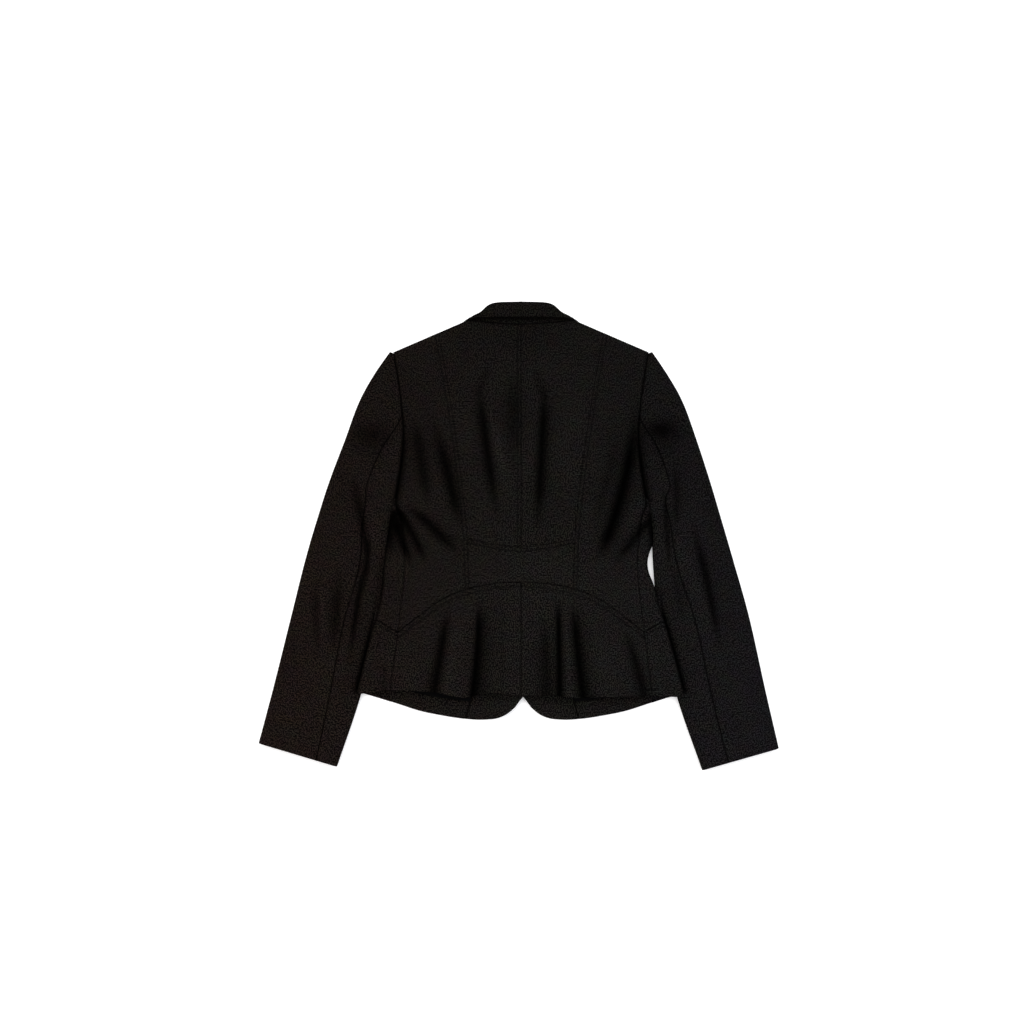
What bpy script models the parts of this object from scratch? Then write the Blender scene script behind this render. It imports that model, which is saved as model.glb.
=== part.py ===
"""A fitted tweed jacket laid flat on its front, built from the pieces that are cut and sewn.

Tables hold millimetres in the jacket's drafting plane: x is measured from the centre back line,
y runs up towards the collar, and z is the height above the surface that the jacket lies on.
A half width is measured from the centre back line towards either side.
"""

import math
from collections import namedtuple

import bmesh
import bpy
from mathutils import Vector

MM = 0.001

# Cloth walls and the spaces between them
TWEED = 2.0
COLLAR_CLOTH = 1.6
INNER_CLOTH = 1.2
SEAM_GAP = 0.3
ARMHOLE_GAP = 0.6
LAYER_GAP = 0.4

# Rolled edges of the flattened body
SIDE_ROLL = 7.0
UNDERARM_ROLL = 2.0
SHOULDER_ROLL = 18.0
SHOULDER_BACK_Z = 13.0
SHOULDER_FRONT_Z = 8.0
SIDE_FALL = 0.38
SIDE_FALL_POWER = 6

# Points and lines of the body
NECK_POINT = (80.0, 322.0)
SHOULDER_POINT = (191.0, 274.0)
UNDERARM_Y = 48.0
SIDE_SEAM_Y = -146.0
SIDE_SEAM_RISE = 0.58
SIDE_SEAM_AT = -135.0
HEM_Y = -240.0

# The front closing: wearer's right front outermost, so it lies lowest
FRONT_AXIS = 3.0
FRONT_LAP = 12.0
LAP_RISE = 5.2
LAP_RAMP = 50.0
LAP_FADE = (110.0, 190.0)
BREAK_Y = 60.0
UNDERSIDE_INSET = 0.8
SIDE_INSET = 0.3
ARCH_INSET = 0.15
SIDE_PANEL_TOP = 45.0

# The lapels and the button, which lie under the fronts
LAPEL_THICK = 1.6
LAPEL_LOW = 108.0
LAPEL_LIFT = 2.2
LAPEL_RAMP = 26.0
LAPEL_MARGIN = 12.0
GORGE_Y = 270.0
GORGE_HALF = 60.0
GORGE_SLOPE = -0.35
BUTTON_Y = 22.0
BUTTON_RADIUS = 10.0
BUTTON_THICK = 3.0
BUTTON_DISH = 1.0
BUTTON_LIFT = 3.4
BUTTON_FLAT = 36.0
BUTTON_SPREAD = 90.0

# The sleeve tube, by station number
UNDERARM = 5
NOTCH = 2
SLEEVE_ROLL = 7.5
CAP_BLEND = 26.0
FRONT_SEAM = 0.15

# The sides of the body lie over the sleeves from the waist to the hem, which presses the sleeves flat there
SIDE_RAISE = 6.6
SIDE_RAISE_RAMP = (-18.0, -4.0)
SIDE_RAISE_Y = (-55.0, -15.0)
TOP_RAISE = 0.5
PRESSED = 5.4
PRESSED_RAMP = (1.0, 28.0)
PRESSED_FROM = (5.4, 5.95)
PRESSED_TO = (8.1, 8.9)

# Shares of the collar's leaves that its fold takes up
FALL_START = 0.05
STAND_START = 0.24

# Linear colours
TWEED_COLOUR = (0.009, 0.0085, 0.008, 1.0)
LINING_COLOUR = (0.004, 0.004, 0.004, 1.0)
BUTTON_COLOUR = (0.006, 0.006, 0.006, 1.0)

SIDES = {"left": -1, "right": 1}

Across = namedtuple("Across", "y half")
Edge = namedtuple("Edge", "y left right")
Along = namedtuple("Along", "x y")
Loft = namedtuple("Loft", "y z")
Fold = namedtuple("Fold", "name layer top_y top_x mid_x low_y low_x left right depth fade_in fade_out")
Station = namedtuple("Station", "number outer_x outer_y inner_x inner_y seam height")
Collar = namedtuple("Collar", "number fold_x fold_y fold_z edge_x edge_y edge_z neck_x neck_y neck_z")

PRINCESS_SEAM = (
    Across(-90, 78), Across(-37, 79.5), Across(0, 81), Across(67, 87.5),
    Across(142, 97), Across(202, 106), Across(255, 115), Across(305, 124.5),
)
ARMHOLE = (
    Across(48, 189.3), Across(83, 183), Across(115, 178.5), Across(147, 176),
    Across(190, 178.5), Across(236, 184.5), Across(274, 191),
)
SIDE_BACK_SEAM = (
    Across(-242, 197), Across(-193, 191), Across(-146, 185), Across(-105, 180), Across(-75, 176.5),
    Across(-45, 174.5), Across(-20, 175.5), Across(5, 178), Across(30, 183), Across(48, 189),
)
SIDE_EDGE = (
    Edge(-243, 249, 247), Edge(-190, 237, 234), Edge(-140, 224, 220), Edge(-100, 212, 206),
    Edge(-72, 204, 197), Edge(-55, 200, 192), Edge(-36, 197, 190.5), Edge(-15, 194.5, 193.5),
    Edge(10, 193, 194), Edge(48, 191.5, 191.5),
)
SMILE_SEAM = (Along(-81, -6), Along(-33, -15), Along(0, -18.5), Along(33, -15), Along(81, -6))
ARCH_SEAM = (
    Along(-190, -150), Along(-150, -119.5), Along(-118, -96.5), Along(-83, -82), Along(-47, -74),
    Along(0, -70.5), Along(47, -74), Along(83, -82), Along(118, -96.5), Along(150, -119.5), Along(190, -150),
)
NECKLINE = (Along(-80, 322), Along(-45, 318.5), Along(0, 316), Along(45, 318.5), Along(80, 322))
BACK_HEM = (
    Along(-250, -238), Along(-198, -233), Along(-129, -236), Along(-76, -243), Along(-60, -239),
    Along(0, -240), Along(51, -241), Along(80, -244), Along(111, -243), Along(193, -241), Along(250, -243),
)
# The fronts are drafted from their own axis
FRONT_HEM = (
    Along(-14, -220), Along(0, -243), Along(6, -250.5), Along(10, -256.5), Along(16, -262.5), Along(23.5, -268.5),
    Along(36, -274.5), Along(56, -276.5), Along(87, -274.5), Along(123, -268.5), Along(151, -262.5),
    Along(195, -249), Along(238, -240),
)
FRONT_EDGE = (
    Across(-243, 0), Across(-225, -6), Across(-195, -FRONT_LAP), Across(-80, -FRONT_LAP),
    Across(40, -FRONT_LAP), Across(BREAK_Y, -11), Across(150, 19), Across(240, 49), Across(322, 77),
)
LAPEL_EDGE = (
    Across(72, 6), Across(98, 28), Across(130, 51), Across(170, 72), Across(215, 90), Across(262, 100), Across(322, 102),
)
BACK_LOFT = (
    Loft(-245, 21), Loft(-146, 18.5), Loft(-36, 18), Loft(60, 20), Loft(170, 22), Loft(260, 22), Loft(325, 21),
)

# Soft troughs have a negative depth, ridges a positive one; left and right are the widths to either side
FOLDS = (
    Fold("centre left", "back", 245, -63, -51, 30, -36, 9, 11, -5.0, 0.35, 0.35),
    Fold("centre right", "back", 230, 31, 30, 28, 27, 11, 9, -5.0, 0.35, 0.35),
    Fold("left blade ridge", "back", 205, -163, -133, -5, -106, 13, 12, 4.0, 0.3, 0.3),
    Fold("left blade trough", "back", 130, -121, -108, -5, -92, 9, 8, -4.5, 0.4, 0.3),
    Fold("left underarm drag", "back", 38, -184, -150, -34, -106, 8, 10, -4.0, 0.3, 0.45),
    Fold("left waist drag", "back", 8, -176, -158, -44, -138, 7, 8, -3.0, 0.3, 0.5),
    Fold("right blade trough", "back", 205, 168, 158, -24, 121, 11, 10, -6.0, 0.3, 0.25),
    Fold("right waist drag", "back", 20, 186, 172, -40, 149, 7, 8, -3.5, 0.3, 0.5),
    Fold("flute left outer", "back", -98, -110, -120, -260, -133, 11, 7, -5.5, 0.3, 0.0),
    Fold("flute left crest", "back", -98, -90, -92, -260, -97, 15, 14, 5.0, 0.5, 0.0),
    Fold("flute left inner", "back", -95, -65, -68, -260, -71, 5, 15, -7.5, 0.3, 0.0),
    Fold("flute right inner", "back", -95, 52, 52, -260, 53, 15, 5, -7.5, 0.3, 0.0),
    Fold("flute right crest", "back", -98, 66, 69, -260, 74, 7, 7, 3.5, 0.4, 0.0),
    Fold("flute right outer", "back", -102, 77, 84, -260, 95, 6, 12, -6.0, 0.3, 0.0),
    Fold("hem right side", "back", -150, 158, 168, -260, 182, 9, 7, -3.0, 0.4, 0.0),
    Fold("left cap dent", "left sleeve", 165, -246, -228, 128, -206, 18, 18, -3.0, 0.3, 0.3),
    Fold("left elbow", "left sleeve", 60, -250, -238, -190, -256, 9, 9, -3.0, 0.3, 0.4),
    Fold("left forearm", "left sleeve", 0, -300, -292, -170, -286, 16, 14, -3.0, 0.4, 0.4),
    Fold("right cap dent", "right sleeve", 180, 196, 214, 140, 236, 18, 18, -3.0, 0.3, 0.3),
    Fold("right elbow", "right sleeve", 100, 232, 252, -150, 296, 9, 9, -3.0, 0.3, 0.3),
)

# Stations run from the crown through notch and underarm to the cuff; seam is the back seam's share of the width
LEFT_SLEEVE = (
    Station(0, -197, 275, -191, 272, 0.0, 13),
    Station(1, -222, 238, -184, 232, 0.0, 20),
    Station(2, -244, 197, -179, 184, 0.0, 21),
    Station(3, -264, 143, -178, 130, 0.337, 19),
    Station(4, -285, 88, -184, 75, 0.45, 17),
    Station(5, -301, 40, -194, 51, 0.4, 15),
    Station(6, -323, -34, -199.5, -45, 0.32, 14),
    Station(7, -346, -126, -216, -135, 0.384, 15),
    Station(8, -371, -226, -241, -242, 0.347, 14),
    Station(9, -393.75, -312, -276, -347, 0.267, 12),
)
RIGHT_SLEEVE = (
    Station(0, 197, 275, 191, 272, 0.0, 13),
    Station(1, 222, 236, 184, 232, 0.0, 20),
    Station(2, 243, 197, 178, 180, 0.0, 21),
    Station(3, 262, 145, 176, 134, 0.287, 19),
    Station(4, 282, 84, 184, 75, 0.39, 17),
    Station(5, 297, 34, 195, 51, 0.26, 15),
    Station(6, 318, -38, 196.5, -45, 0.295, 14),
    Station(7, 342, -124, 208, -132, 0.393, 15),
    Station(8, 366, -232, 234.5, -244, 0.386, 14),
    Station(9, 385.5, -317, 272, -350, 0.339, 12),
)
SLEEVES = {"left": LEFT_SLEEVE, "right": RIGHT_SLEEVE}

# From the centre back round the neck point to the gorge; the stand ends at the neck point
COLLAR = (
    Collar(0, 0, 349.5, 41, 0, 326, 33.5, 0, 316.7, 20.6),
    Collar(1, 45, 345, 39, 50, 325.6, 33, 43, 319.3, 20),
    Collar(2, 70, 335, 31, 76, 325.8, 28.5, 66, 321.8, 19),
    Collar(3, 79, 331, 20, 88, 323.5, 19, 76, 324.8, 16.8),
    Collar(4, 80, 328, 9, 94, 320, 8.5, 74, 326, 12),
    Collar(5, 76, 315, 0.9, 98, 307, 0.8, 70, 318, 4),
    Collar(6, 66, 280, 0.6, 99, 270, 0.5, 60, 284, 4),
)
STAND_END = 3

# Grid lines of the pieces, as shares of their width and length
BACK_COLUMNS = 6
BACK_ROWS = (0, 0.1, 0.2, 0.3, 0.4, 0.5, 0.6, 0.7, 0.8, 0.88, 0.94, 0.98, 1)
BACK_SIDE_ROWS = (
    0, 0.07, 0.14, 0.21, 0.28, 0.34, 0.4, 0.46, 0.51, 0.56, 0.61, 0.66, 0.71, 0.76, 0.81, 0.86, 0.91, 0.95, 0.98, 1,
)
FRONT_COLUMNS = (0, 0.012, 0.04, 0.085, 0.145, 0.22, 0.3, 0.386, 0.54, 0.7, 0.85, 1)
FRONT_ROWS = (
    0, 0.044, 0.1, 0.16, 0.23, 0.3, 0.37, 0.44, 0.51, 0.58, 0.65, 0.72, 0.79, 0.86, 0.92, 0.965, 0.99, 1,
)
FACING_SHARE = 0.386
FACING_TOP = 0.51
TURN_UP = 0.044
LINING_TOP = 0.23
SIDE_COLUMNS = (0, 0.5, 1, 1.25, 1.5, 1.75, 2, 2.5, 3)
TOP_SLEEVE_COLUMNS = (0, 0.25, 0.5, 0.75, 1, 1.25, 1.5, 1.75, 2, 2.5, 3)
TOP_SLEEVE_ROWS = (0, 0.3, 0.65, 1, 1.5, 2, 2.5, 3, 3.5, 4, 4.5, 5, 5.12, 5.5, 6, 6.5, 7, 7.5, 8, 8.5, 9)
UNDER_SLEEVE_COLUMNS = (0, 0.5, 1, 1.25, 1.5, 1.75, 2, 3)
UNDER_SLEEVE_ROWS = (2.15, 2.5, 3, 3.5, 4, 4.5, 5, 5.12, 5.5, 6, 6.5, 7, 7.5, 8, 8.5, 9)


def curve(rows, key, value):
    """A smooth curve through two columns of a table, straight beyond its ends."""
    keys = [getattr(row, key) for row in rows]
    values = [getattr(row, value) for row in rows]
    spans = [b - a for a, b in zip(keys, keys[1:])]
    rises = [(b - a) / span for a, b, span in zip(values, values[1:], spans)]
    slopes = [rises[0]]
    for before, after, rise, next_rise in zip(spans, spans[1:], rises, rises[1:]):
        slopes.append((rise * after + next_rise * before) / (before + after))
    slopes.append(rises[-1])

    def at(place):
        if place <= keys[0]:
            return values[0] + slopes[0] * (place - keys[0])
        if place >= keys[-1]:
            return values[-1] + slopes[-1] * (place - keys[-1])
        i = max(k for k in range(len(spans)) if keys[k] <= place)
        t = (place - keys[i]) / spans[i]
        start = (1 + 2 * t) * (1 - t) ** 2 * values[i] + t * (1 - t) ** 2 * spans[i] * slopes[i]
        end = t * t * (3 - 2 * t) * values[i + 1] + t * t * (t - 1) * spans[i] * slopes[i + 1]
        return start + end

    return at


def ease(low, high, place):
    """0 at low, 1 at high, smooth between and flat beyond."""
    t = min(1.0, max(0.0, (place - low) / (high - low)))
    return t * t * (3 - 2 * t)


def blend(a, b, t):
    return a + (b - a) * t


def roll(inside, depth):
    """How far a rolled edge has risen at a distance inside it, from 0 to 1."""
    t = min(1.0, max(0.0, inside / depth))
    return math.sqrt(1 - (1 - t) ** 2)


def even(count):
    return [i / count for i in range(count + 1)]


princess = curve(PRINCESS_SEAM, "y", "half")
armhole = curve(ARMHOLE, "y", "half")
side_back_seam = curve(SIDE_BACK_SEAM, "y", "half")
side_edges = {side: curve(SIDE_EDGE, "y", side) for side in SIDES}
sleeve_edges = {side: curve(SLEEVES[side][:UNDERARM - 1:-1], "inner_y", "inner_x") for side in SIDES}
smile = curve(SMILE_SEAM, "x", "y")
arch = curve(ARCH_SEAM, "x", "y")
neckline = curve(NECKLINE, "x", "y")
back_hem = curve(BACK_HEM, "x", "y")
front_hem = curve(FRONT_HEM, "x", "y")
front_edge = curve(FRONT_EDGE, "y", "half")
lapel_edge = curve(LAPEL_EDGE, "y", "half")
back_loft = curve(BACK_LOFT, "y", "z")
shoulder_slope = (SHOULDER_POINT[1] - NECK_POINT[1]) / (SHOULDER_POINT[0] - NECK_POINT[0])


def shoulder(half):
    """The straight shoulder line."""
    return NECK_POINT[1] + shoulder_slope * (half - NECK_POINT[0])


def below_shoulder(x, y):
    """Distance under the shoulder line, level across the neck."""
    return (shoulder(max(abs(x), NECK_POINT[0] - SHOULDER_ROLL)) - y) / math.hypot(1, shoulder_slope)


def back_top(half):
    """The upper edge of the back: neckline, then shoulder."""
    return neckline(half) if half < NECK_POINT[0] else shoulder(half)


def body_side(y):
    """The outer edge of the side backs and the fronts: armhole, then the seam of the side panel."""
    return armhole(y) if y > UNDERARM_Y else side_back_seam(y) - SIDE_INSET


def fold_height(layer, x, y):
    """The sum of the troughs and ridges of a layer at a point."""
    height = 0.0
    for fold in FOLDS:
        if fold.layer != layer or not fold.low_y < y < fold.top_y:
            continue
        t = (fold.top_y - y) / (fold.top_y - fold.low_y)
        bend = fold.mid_x - (fold.top_x + fold.low_x) / 2
        middle = blend(fold.top_x, fold.low_x, t) + 4 * bend * t * (1 - t)
        lean = (fold.low_x - fold.top_x + 4 * bend * (1 - 2 * t)) / (fold.top_y - fold.low_y)
        away = (x - middle) / math.hypot(1, lean)
        width = fold.left if away < 0 else fold.right
        reach = ease(0, fold.fade_in, t)
        if fold.fade_out:
            reach *= 1 - ease(1 - fold.fade_out, 1, t)
        height += fold.depth * reach * math.exp(-((away / width) ** 2))
    return height


def back_height(x, y):
    """Outer face of the upper layer."""
    edge = side_edges["left" if x < 0 else "right"](min(y, UNDERARM_Y))
    fall = 1 - SIDE_FALL * min(1.0, abs(x) / edge) ** SIDE_FALL_POWER
    loft = back_loft(y) * blend(fall, 1, ease(20, 150, y)) + fold_height("back", x, y)
    return blend(SHOULDER_BACK_Z, loft, roll(below_shoulder(x, y), SHOULDER_ROLL))


def front_height(side, x, y):
    """Outer face of a front, which looks down: lifted by its lapel, the button and the front under it."""
    half = SIDES[side] * (x - FRONT_AXIS)
    lapel = LAPEL_LIFT * ease(-LAPEL_RAMP, 0, lapel_edge(y) + LAPEL_MARGIN - half) * ease(BREAK_Y - 40, BREAK_Y - 5, y)
    button = BUTTON_LIFT * (1 - ease(BUTTON_FLAT, BUTTON_SPREAD, math.hypot(x - FRONT_AXIS, y - BUTTON_Y)))
    lap = 0.0
    if side == "left":
        lap = LAP_RISE * (1 - ease(FRONT_LAP, FRONT_LAP + LAP_RAMP, half)) * (1 - ease(*LAP_FADE, y))
    return blend(SHOULDER_FRONT_Z, max(lapel, button) + lap, roll(below_shoulder(x, y), SHOULDER_ROLL))


def add_piece(name, mesh, material):
    """A finished mesh becomes a named piece of the jacket."""
    bmesh.ops.recalc_face_normals(mesh, faces=mesh.faces[:])
    data = bpy.data.meshes.new(name)
    mesh.to_mesh(data)
    mesh.free()
    data.materials.append(material)
    piece = bpy.data.objects.new(name, data)
    piece.parent = jacket
    bpy.context.scene.collection.objects.link(piece)


def cloth(name, columns, rows, outer, inner, material, keep=None):
    """A closed wall between an outer face and an inner one, both given over a grid of two parameters."""
    mesh = bmesh.new()
    bmesh.ops.create_grid(mesh, x_segments=len(columns) - 1, y_segments=len(rows) - 1, size=1)
    place = mesh.verts.layers.int.new("place")
    for index, vert in enumerate(mesh.verts):
        vert[place] = index
        row, column = divmod(index, len(columns))
        vert.co = Vector(outer(columns[column], rows[row])) * MM
    if keep:
        spare = [f for f in mesh.faces if not keep([divmod(v[place], len(columns)) for v in f.verts])]
        bmesh.ops.delete(mesh, geom=spare, context="FACES")
    made = bmesh.ops.extrude_face_region(mesh, geom=mesh.faces[:])["geom"]
    for vert in made:
        if isinstance(vert, bmesh.types.BMVert):
            row, column = divmod(vert[place], len(columns))
            vert.co = Vector(inner(columns[column], rows[row])) * MM
    add_piece(name, mesh, material)


def flat_panel(name, side, seams, height, thick, columns, rows, material):
    """A panel between an inner and an outer seam, a lower and an upper one, thickened straight up or down."""
    inner_seam, outer_seam, low, high = seams

    def plan(u, v):
        def across(y):
            return blend(inner_seam(y) + SEAM_GAP / 2, outer_seam(y) - SEAM_GAP / 2, u)

        def meet(end):
            y = end(across(0))
            for _ in range(20):
                y = end(across(y))
            return y

        y = blend(meet(low) + SEAM_GAP / 2, meet(high) - SEAM_GAP / 2, v)
        return SIDES[side] * across(y), y

    def outer(u, v):
        x, y = plan(u, v)
        return x, y, height(x, y)

    def inner(u, v):
        x, y = plan(u, v)
        return x, y, height(x, y) + thick

    cloth(name, columns, rows, outer, inner, material)


def fold_section(top, tip, low):
    """Outer and inner face of a wall that lies on the upper layer, turns round a fold and lies on the lower one.

    top and low give the points of the two flat stretches from their seams, 0, to the fold, 1, and tip is the
    plan point of the fold's edge. The faces run over one parameter: 0 to 1 on top, 1 to 2 round, 2 to 3 below.
    """
    start, end = top(1), low(1)
    reach = Vector((tip[0] - start[0], tip[1] - start[1]))

    def outer(t):
        if t <= 1:
            return top(t)
        if t >= 2:
            return low(3 - t)
        turn = math.pi * (1.5 - t)
        out = reach * math.cos(turn)
        z = (start[2] + end[2]) / 2 + (start[2] - end[2]) / 2 * math.sin(turn)
        return start[0] + out.x, start[1] + out.y, z

    def inner(t):
        x, y, z = outer(t)
        turn = math.pi * (1.5 - min(2, max(1, t)))
        back = reach.normalized() * min(TWEED, 0.6 * reach.length) * math.cos(turn)
        return x - back.x, y - back.y, z - TWEED * math.sin(turn)

    return outer, inner


def side_raise(side, x, y):
    """How far the lower layer of the body's side is raised to lie over the sleeve."""
    inside = SIDES[side] * (x - sleeve_edges[side](y))
    return SIDE_RAISE * ease(*SIDE_RAISE_RAMP, inside) * (1 - ease(*SIDE_RAISE_Y, y))


def side_piece(name, side, low, high, rows):
    """A body piece that turns round the side fold from the upper layer to the lower one."""
    sign = SIDES[side]
    edge = side_edges[side]

    def section(t, v):
        share = min(1.0, t)
        y = blend(low(share) + SEAM_GAP / 2, high(share) - SEAM_GAP / 2, v)
        depth = blend(UNDERARM_ROLL, SIDE_ROLL, ease(UNDERARM_Y, 0, y))

        def stretch(height):
            def at(s):
                x = sign * blend(side_back_seam(y) + SEAM_GAP / 2, edge(y) - depth, s)
                return x, y, height(x, y)

            return at

        return fold_section(
            stretch(lambda x, y: back_height(x, y) + TOP_RAISE * side_raise(side, x, y)),
            (sign * edge(y), y),
            stretch(lambda x, y: front_height(side, x, y) + side_raise(side, x, y)),
        )

    cloth(
        name, SIDE_COLUMNS, rows,
        lambda t, v: section(t, v)[0](t), lambda t, v: section(t, v)[1](t), tweed,
    )


class Sleeve:
    """The flattened tube of one sleeve, over a station number and a share of its width from the inner edge."""

    def __init__(self, side):
        self.side = side
        self.curves = {column: curve(SLEEVES[side], "number", column) for column in Station._fields[1:]}

    def get(self, column, station):
        return self.curves[column](station)

    def edges(self, station):
        """Plan points of the inner edge, which is the armhole above the underarm, and of the outer edge."""
        inner = Vector((self.get("inner_x", station), self.get("inner_y", station)))
        if station <= UNDERARM:
            inner.x = SIDES[self.side] * (armhole(inner.y) + ARMHOLE_GAP)
        return inner, Vector((self.get("outer_x", station), self.get("outer_y", station)))

    def width(self, station):
        inner, outer = self.edges(station)
        return (outer - inner).length

    def plan(self, station, share):
        inner, outer = self.edges(station)
        return inner.lerp(outer, share)

    def rest(self, station):
        """Height of the lower layer, which lies on the surface below the crown."""
        return SHOULDER_FRONT_Z * (1 - ease(0, 1, station))

    def pressed(self, station, place):
        """Share by which the side of the body presses the sleeve flat."""
        beyond = SIDES[self.side] * place.x - side_edges[self.side](place.y)
        along = ease(*PRESSED_FROM, station) * (1 - ease(*PRESSED_TO, station))
        return along * (1 - ease(*PRESSED_RAMP, beyond))

    def lower(self, station, share):
        place = self.plan(station, share)
        return place.x, place.y, self.rest(station)

    def upper(self, station, share):
        """The upper layer, which leaves the armhole at the back's height."""
        place = self.plan(station, share)
        high = self.rest(station) + self.get("height", station)
        high += fold_height(self.side + " sleeve", place.x, place.y)
        high = blend(high, PRESSED, self.pressed(station, place))
        joined = 1 - ease(UNDERARM, UNDERARM + 1, station)
        near = 1 - ease(0, CAP_BLEND, share * self.width(station))
        seam = self.plan(station, 0)
        return place.x, place.y, blend(high, back_height(seam.x, seam.y), near * joined)

    def seam(self, station):
        return max(0.0, self.get("seam", station)) if station > NOTCH else 0.0

    def inner_fold(self, station):
        """Share of the width that the inner fold takes, which starts at the underarm."""
        depth = blend(UNDERARM_ROLL, SLEEVE_ROLL, ease(UNDERARM, UNDERARM + 1, station))
        return depth / self.width(station) if station >= UNDERARM else 0.0

    def front_seam(self, station):
        if station < UNDERARM:
            return 0.0
        return max(FRONT_SEAM * ease(UNDERARM, UNDERARM + 0.6, station), self.inner_fold(station) + 0.012)

    def top_piece(self, station):
        """From the back seam round the outer fold to the front seam."""
        width = self.width(station)
        gap = SEAM_GAP / 2 / width
        end = 1 - min(SLEEVE_ROLL / width, 0.45)
        return fold_section(
            lambda s: self.upper(station, blend(self.seam(station) + gap, end, s)),
            self.plan(station, 1),
            lambda s: self.lower(station, blend(self.front_seam(station) + gap, end, s)),
        )

    def under_piece(self, station):
        """From the back seam round the inner fold to the front seam; open at the armhole above the underarm."""
        width = self.width(station)
        gap = SEAM_GAP / 2 / width
        end = self.inner_fold(station)
        return fold_section(
            lambda s: self.upper(station, blend(self.seam(station) - gap, end, s)),
            self.plan(station, 0),
            lambda s: self.lower(station, blend(self.front_seam(station) - gap, end, s)),
        )

    def build(self):
        cloth(
            "top_sleeve_" + self.side, TOP_SLEEVE_COLUMNS, TOP_SLEEVE_ROWS,
            lambda t, n: self.top_piece(n)[0](t), lambda t, n: self.top_piece(n)[1](t), tweed,
        )
        whole = UNDER_SLEEVE_ROWS.index(UNDERARM)
        upper = UNDER_SLEEVE_COLUMNS.index(1)
        cloth(
            "under_sleeve_" + self.side, UNDER_SLEEVE_COLUMNS, UNDER_SLEEVE_ROWS,
            lambda t, n: self.under_piece(n)[0](t), lambda t, n: self.under_piece(n)[1](t), tweed,
            keep=lambda corners: min(row for row, _ in corners) >= whole or max(c for _, c in corners) <= upper,
        )


def build_back():
    for side, sign in SIDES.items():
        flat_panel(
            "back_centre_" + side, side, (lambda y: 0.0, princess, smile, back_top),
            back_height, -TWEED, even(BACK_COLUMNS), BACK_ROWS, tweed,
        )
        flat_panel(
            "back_side_" + side, side, (princess, body_side, lambda x: arch(x) + ARCH_INSET, shoulder),
            back_height, -TWEED, even(BACK_COLUMNS + 1), BACK_SIDE_ROWS, tweed,
        )
        flat_panel(
            "peplum_back_" + side, side, (lambda y: 0.0, side_back_seam, lambda x: back_hem(sign * x), arch),
            back_height, -TWEED, even(14), even(7), tweed,
        )
    flat_panel(
        "waist_band", "right", (lambda y: -princess(y), princess, arch, smile),
        back_height, -TWEED, even(10), even(3), tweed,
    )


def build_sides():
    for side, sign in SIDES.items():
        edge = side_edges[side]
        run = edge(SIDE_SEAM_AT) - SIDE_ROLL - side_back_seam(SIDE_SEAM_Y)

        def short_seam(share):
            return SIDE_SEAM_Y + SIDE_SEAM_RISE * run * share

        def hem(share):
            return back_hem(sign * blend(side_back_seam(HEM_Y), edge(HEM_Y), share))

        side_piece("side_panel_" + side, side, short_seam, lambda share: SIDE_PANEL_TOP, even(9))
        side_piece("peplum_side_" + side, side, hem, short_seam, even(5))


def build_fronts():
    for side, sign in SIDES.items():
        def from_axis(half, y):
            return half + sign * FRONT_AXIS * (1 - ease(BREAK_Y, NECK_POINT[1], y))

        def edge(y):
            return from_axis(front_edge(y), y)

        def outer(y):
            return body_side(y) - UNDERSIDE_INSET

        def hem(half):
            return front_hem(half - sign * FRONT_AXIS)

        def height(x, y):
            return front_height(side, x, y)

        def inner_height(x, y):
            return front_height(side, x, y) + TWEED + LAYER_GAP

        seams = (edge, outer, hem, shoulder)
        flat_panel("front_" + side, side, seams, height, TWEED, FRONT_COLUMNS, FRONT_ROWS, tweed)

        def strip(name, columns, rows, material):
            flat_panel(name + side, side, seams, inner_height, INNER_CLOTH, columns, rows, material)

        apart = 0.0015
        beside = [c for c in FRONT_COLUMNS if c < FACING_SHARE]
        beyond = [FACING_SHARE + apart] + [c for c in FRONT_COLUMNS if c > FACING_SHARE]
        raised = [r for r in FRONT_ROWS if TURN_UP < r <= LINING_TOP]
        strip("facing_", beside + [FACING_SHARE], [r for r in FRONT_ROWS if r <= FACING_TOP], tweed)
        strip("hem_", beyond, [0, TURN_UP], tweed)
        strip("lining_", beyond, [TURN_UP + apart] + raised, lining)
        lapel_seams = (
            edge,
            lambda y: from_axis(lapel_edge(y), y),
            lambda half: LAPEL_LOW,
            lambda half: GORGE_Y + GORGE_SLOPE * (half - GORGE_HALF),
        )
        flat_panel(
            "lapel_" + side, side, lapel_seams, lambda x, y: 0.0, LAPEL_THICK, even(4), even(6), tweed
        )


def build_collar():
    """The stand and the turned-down fall, swept round the neck."""
    curves = {column: curve(COLLAR, "number", column) for column in Collar._fields[1:]}

    def line(kind, place):
        x, y, z = (curves[kind + axis](abs(place)) for axis in ("_x", "_y", "_z"))
        return Vector((math.copysign(x, place), y, z))

    def leaf(name, kind, start, columns, last):
        def outer(t, place):
            return line("fold", place).lerp(line(kind, place), blend(start, 1, t))

        def inner(t, place):
            along = outer(t, place + 0.05) - outer(t, place - 0.05)
            down = outer(1, place) - outer(0, place)
            return outer(t, place) + along.cross(down).normalized() * COLLAR_CLOTH

        places = [k / 2 for k in range(-2 * last, 2 * last + 1)]
        cloth(name, even(columns), places, outer, inner, tweed)

    leaf("collar_fall", "edge", FALL_START, 3, len(COLLAR) - 1)
    leaf("collar_stand", "neck", STAND_START, 2, STAND_END)


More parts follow.
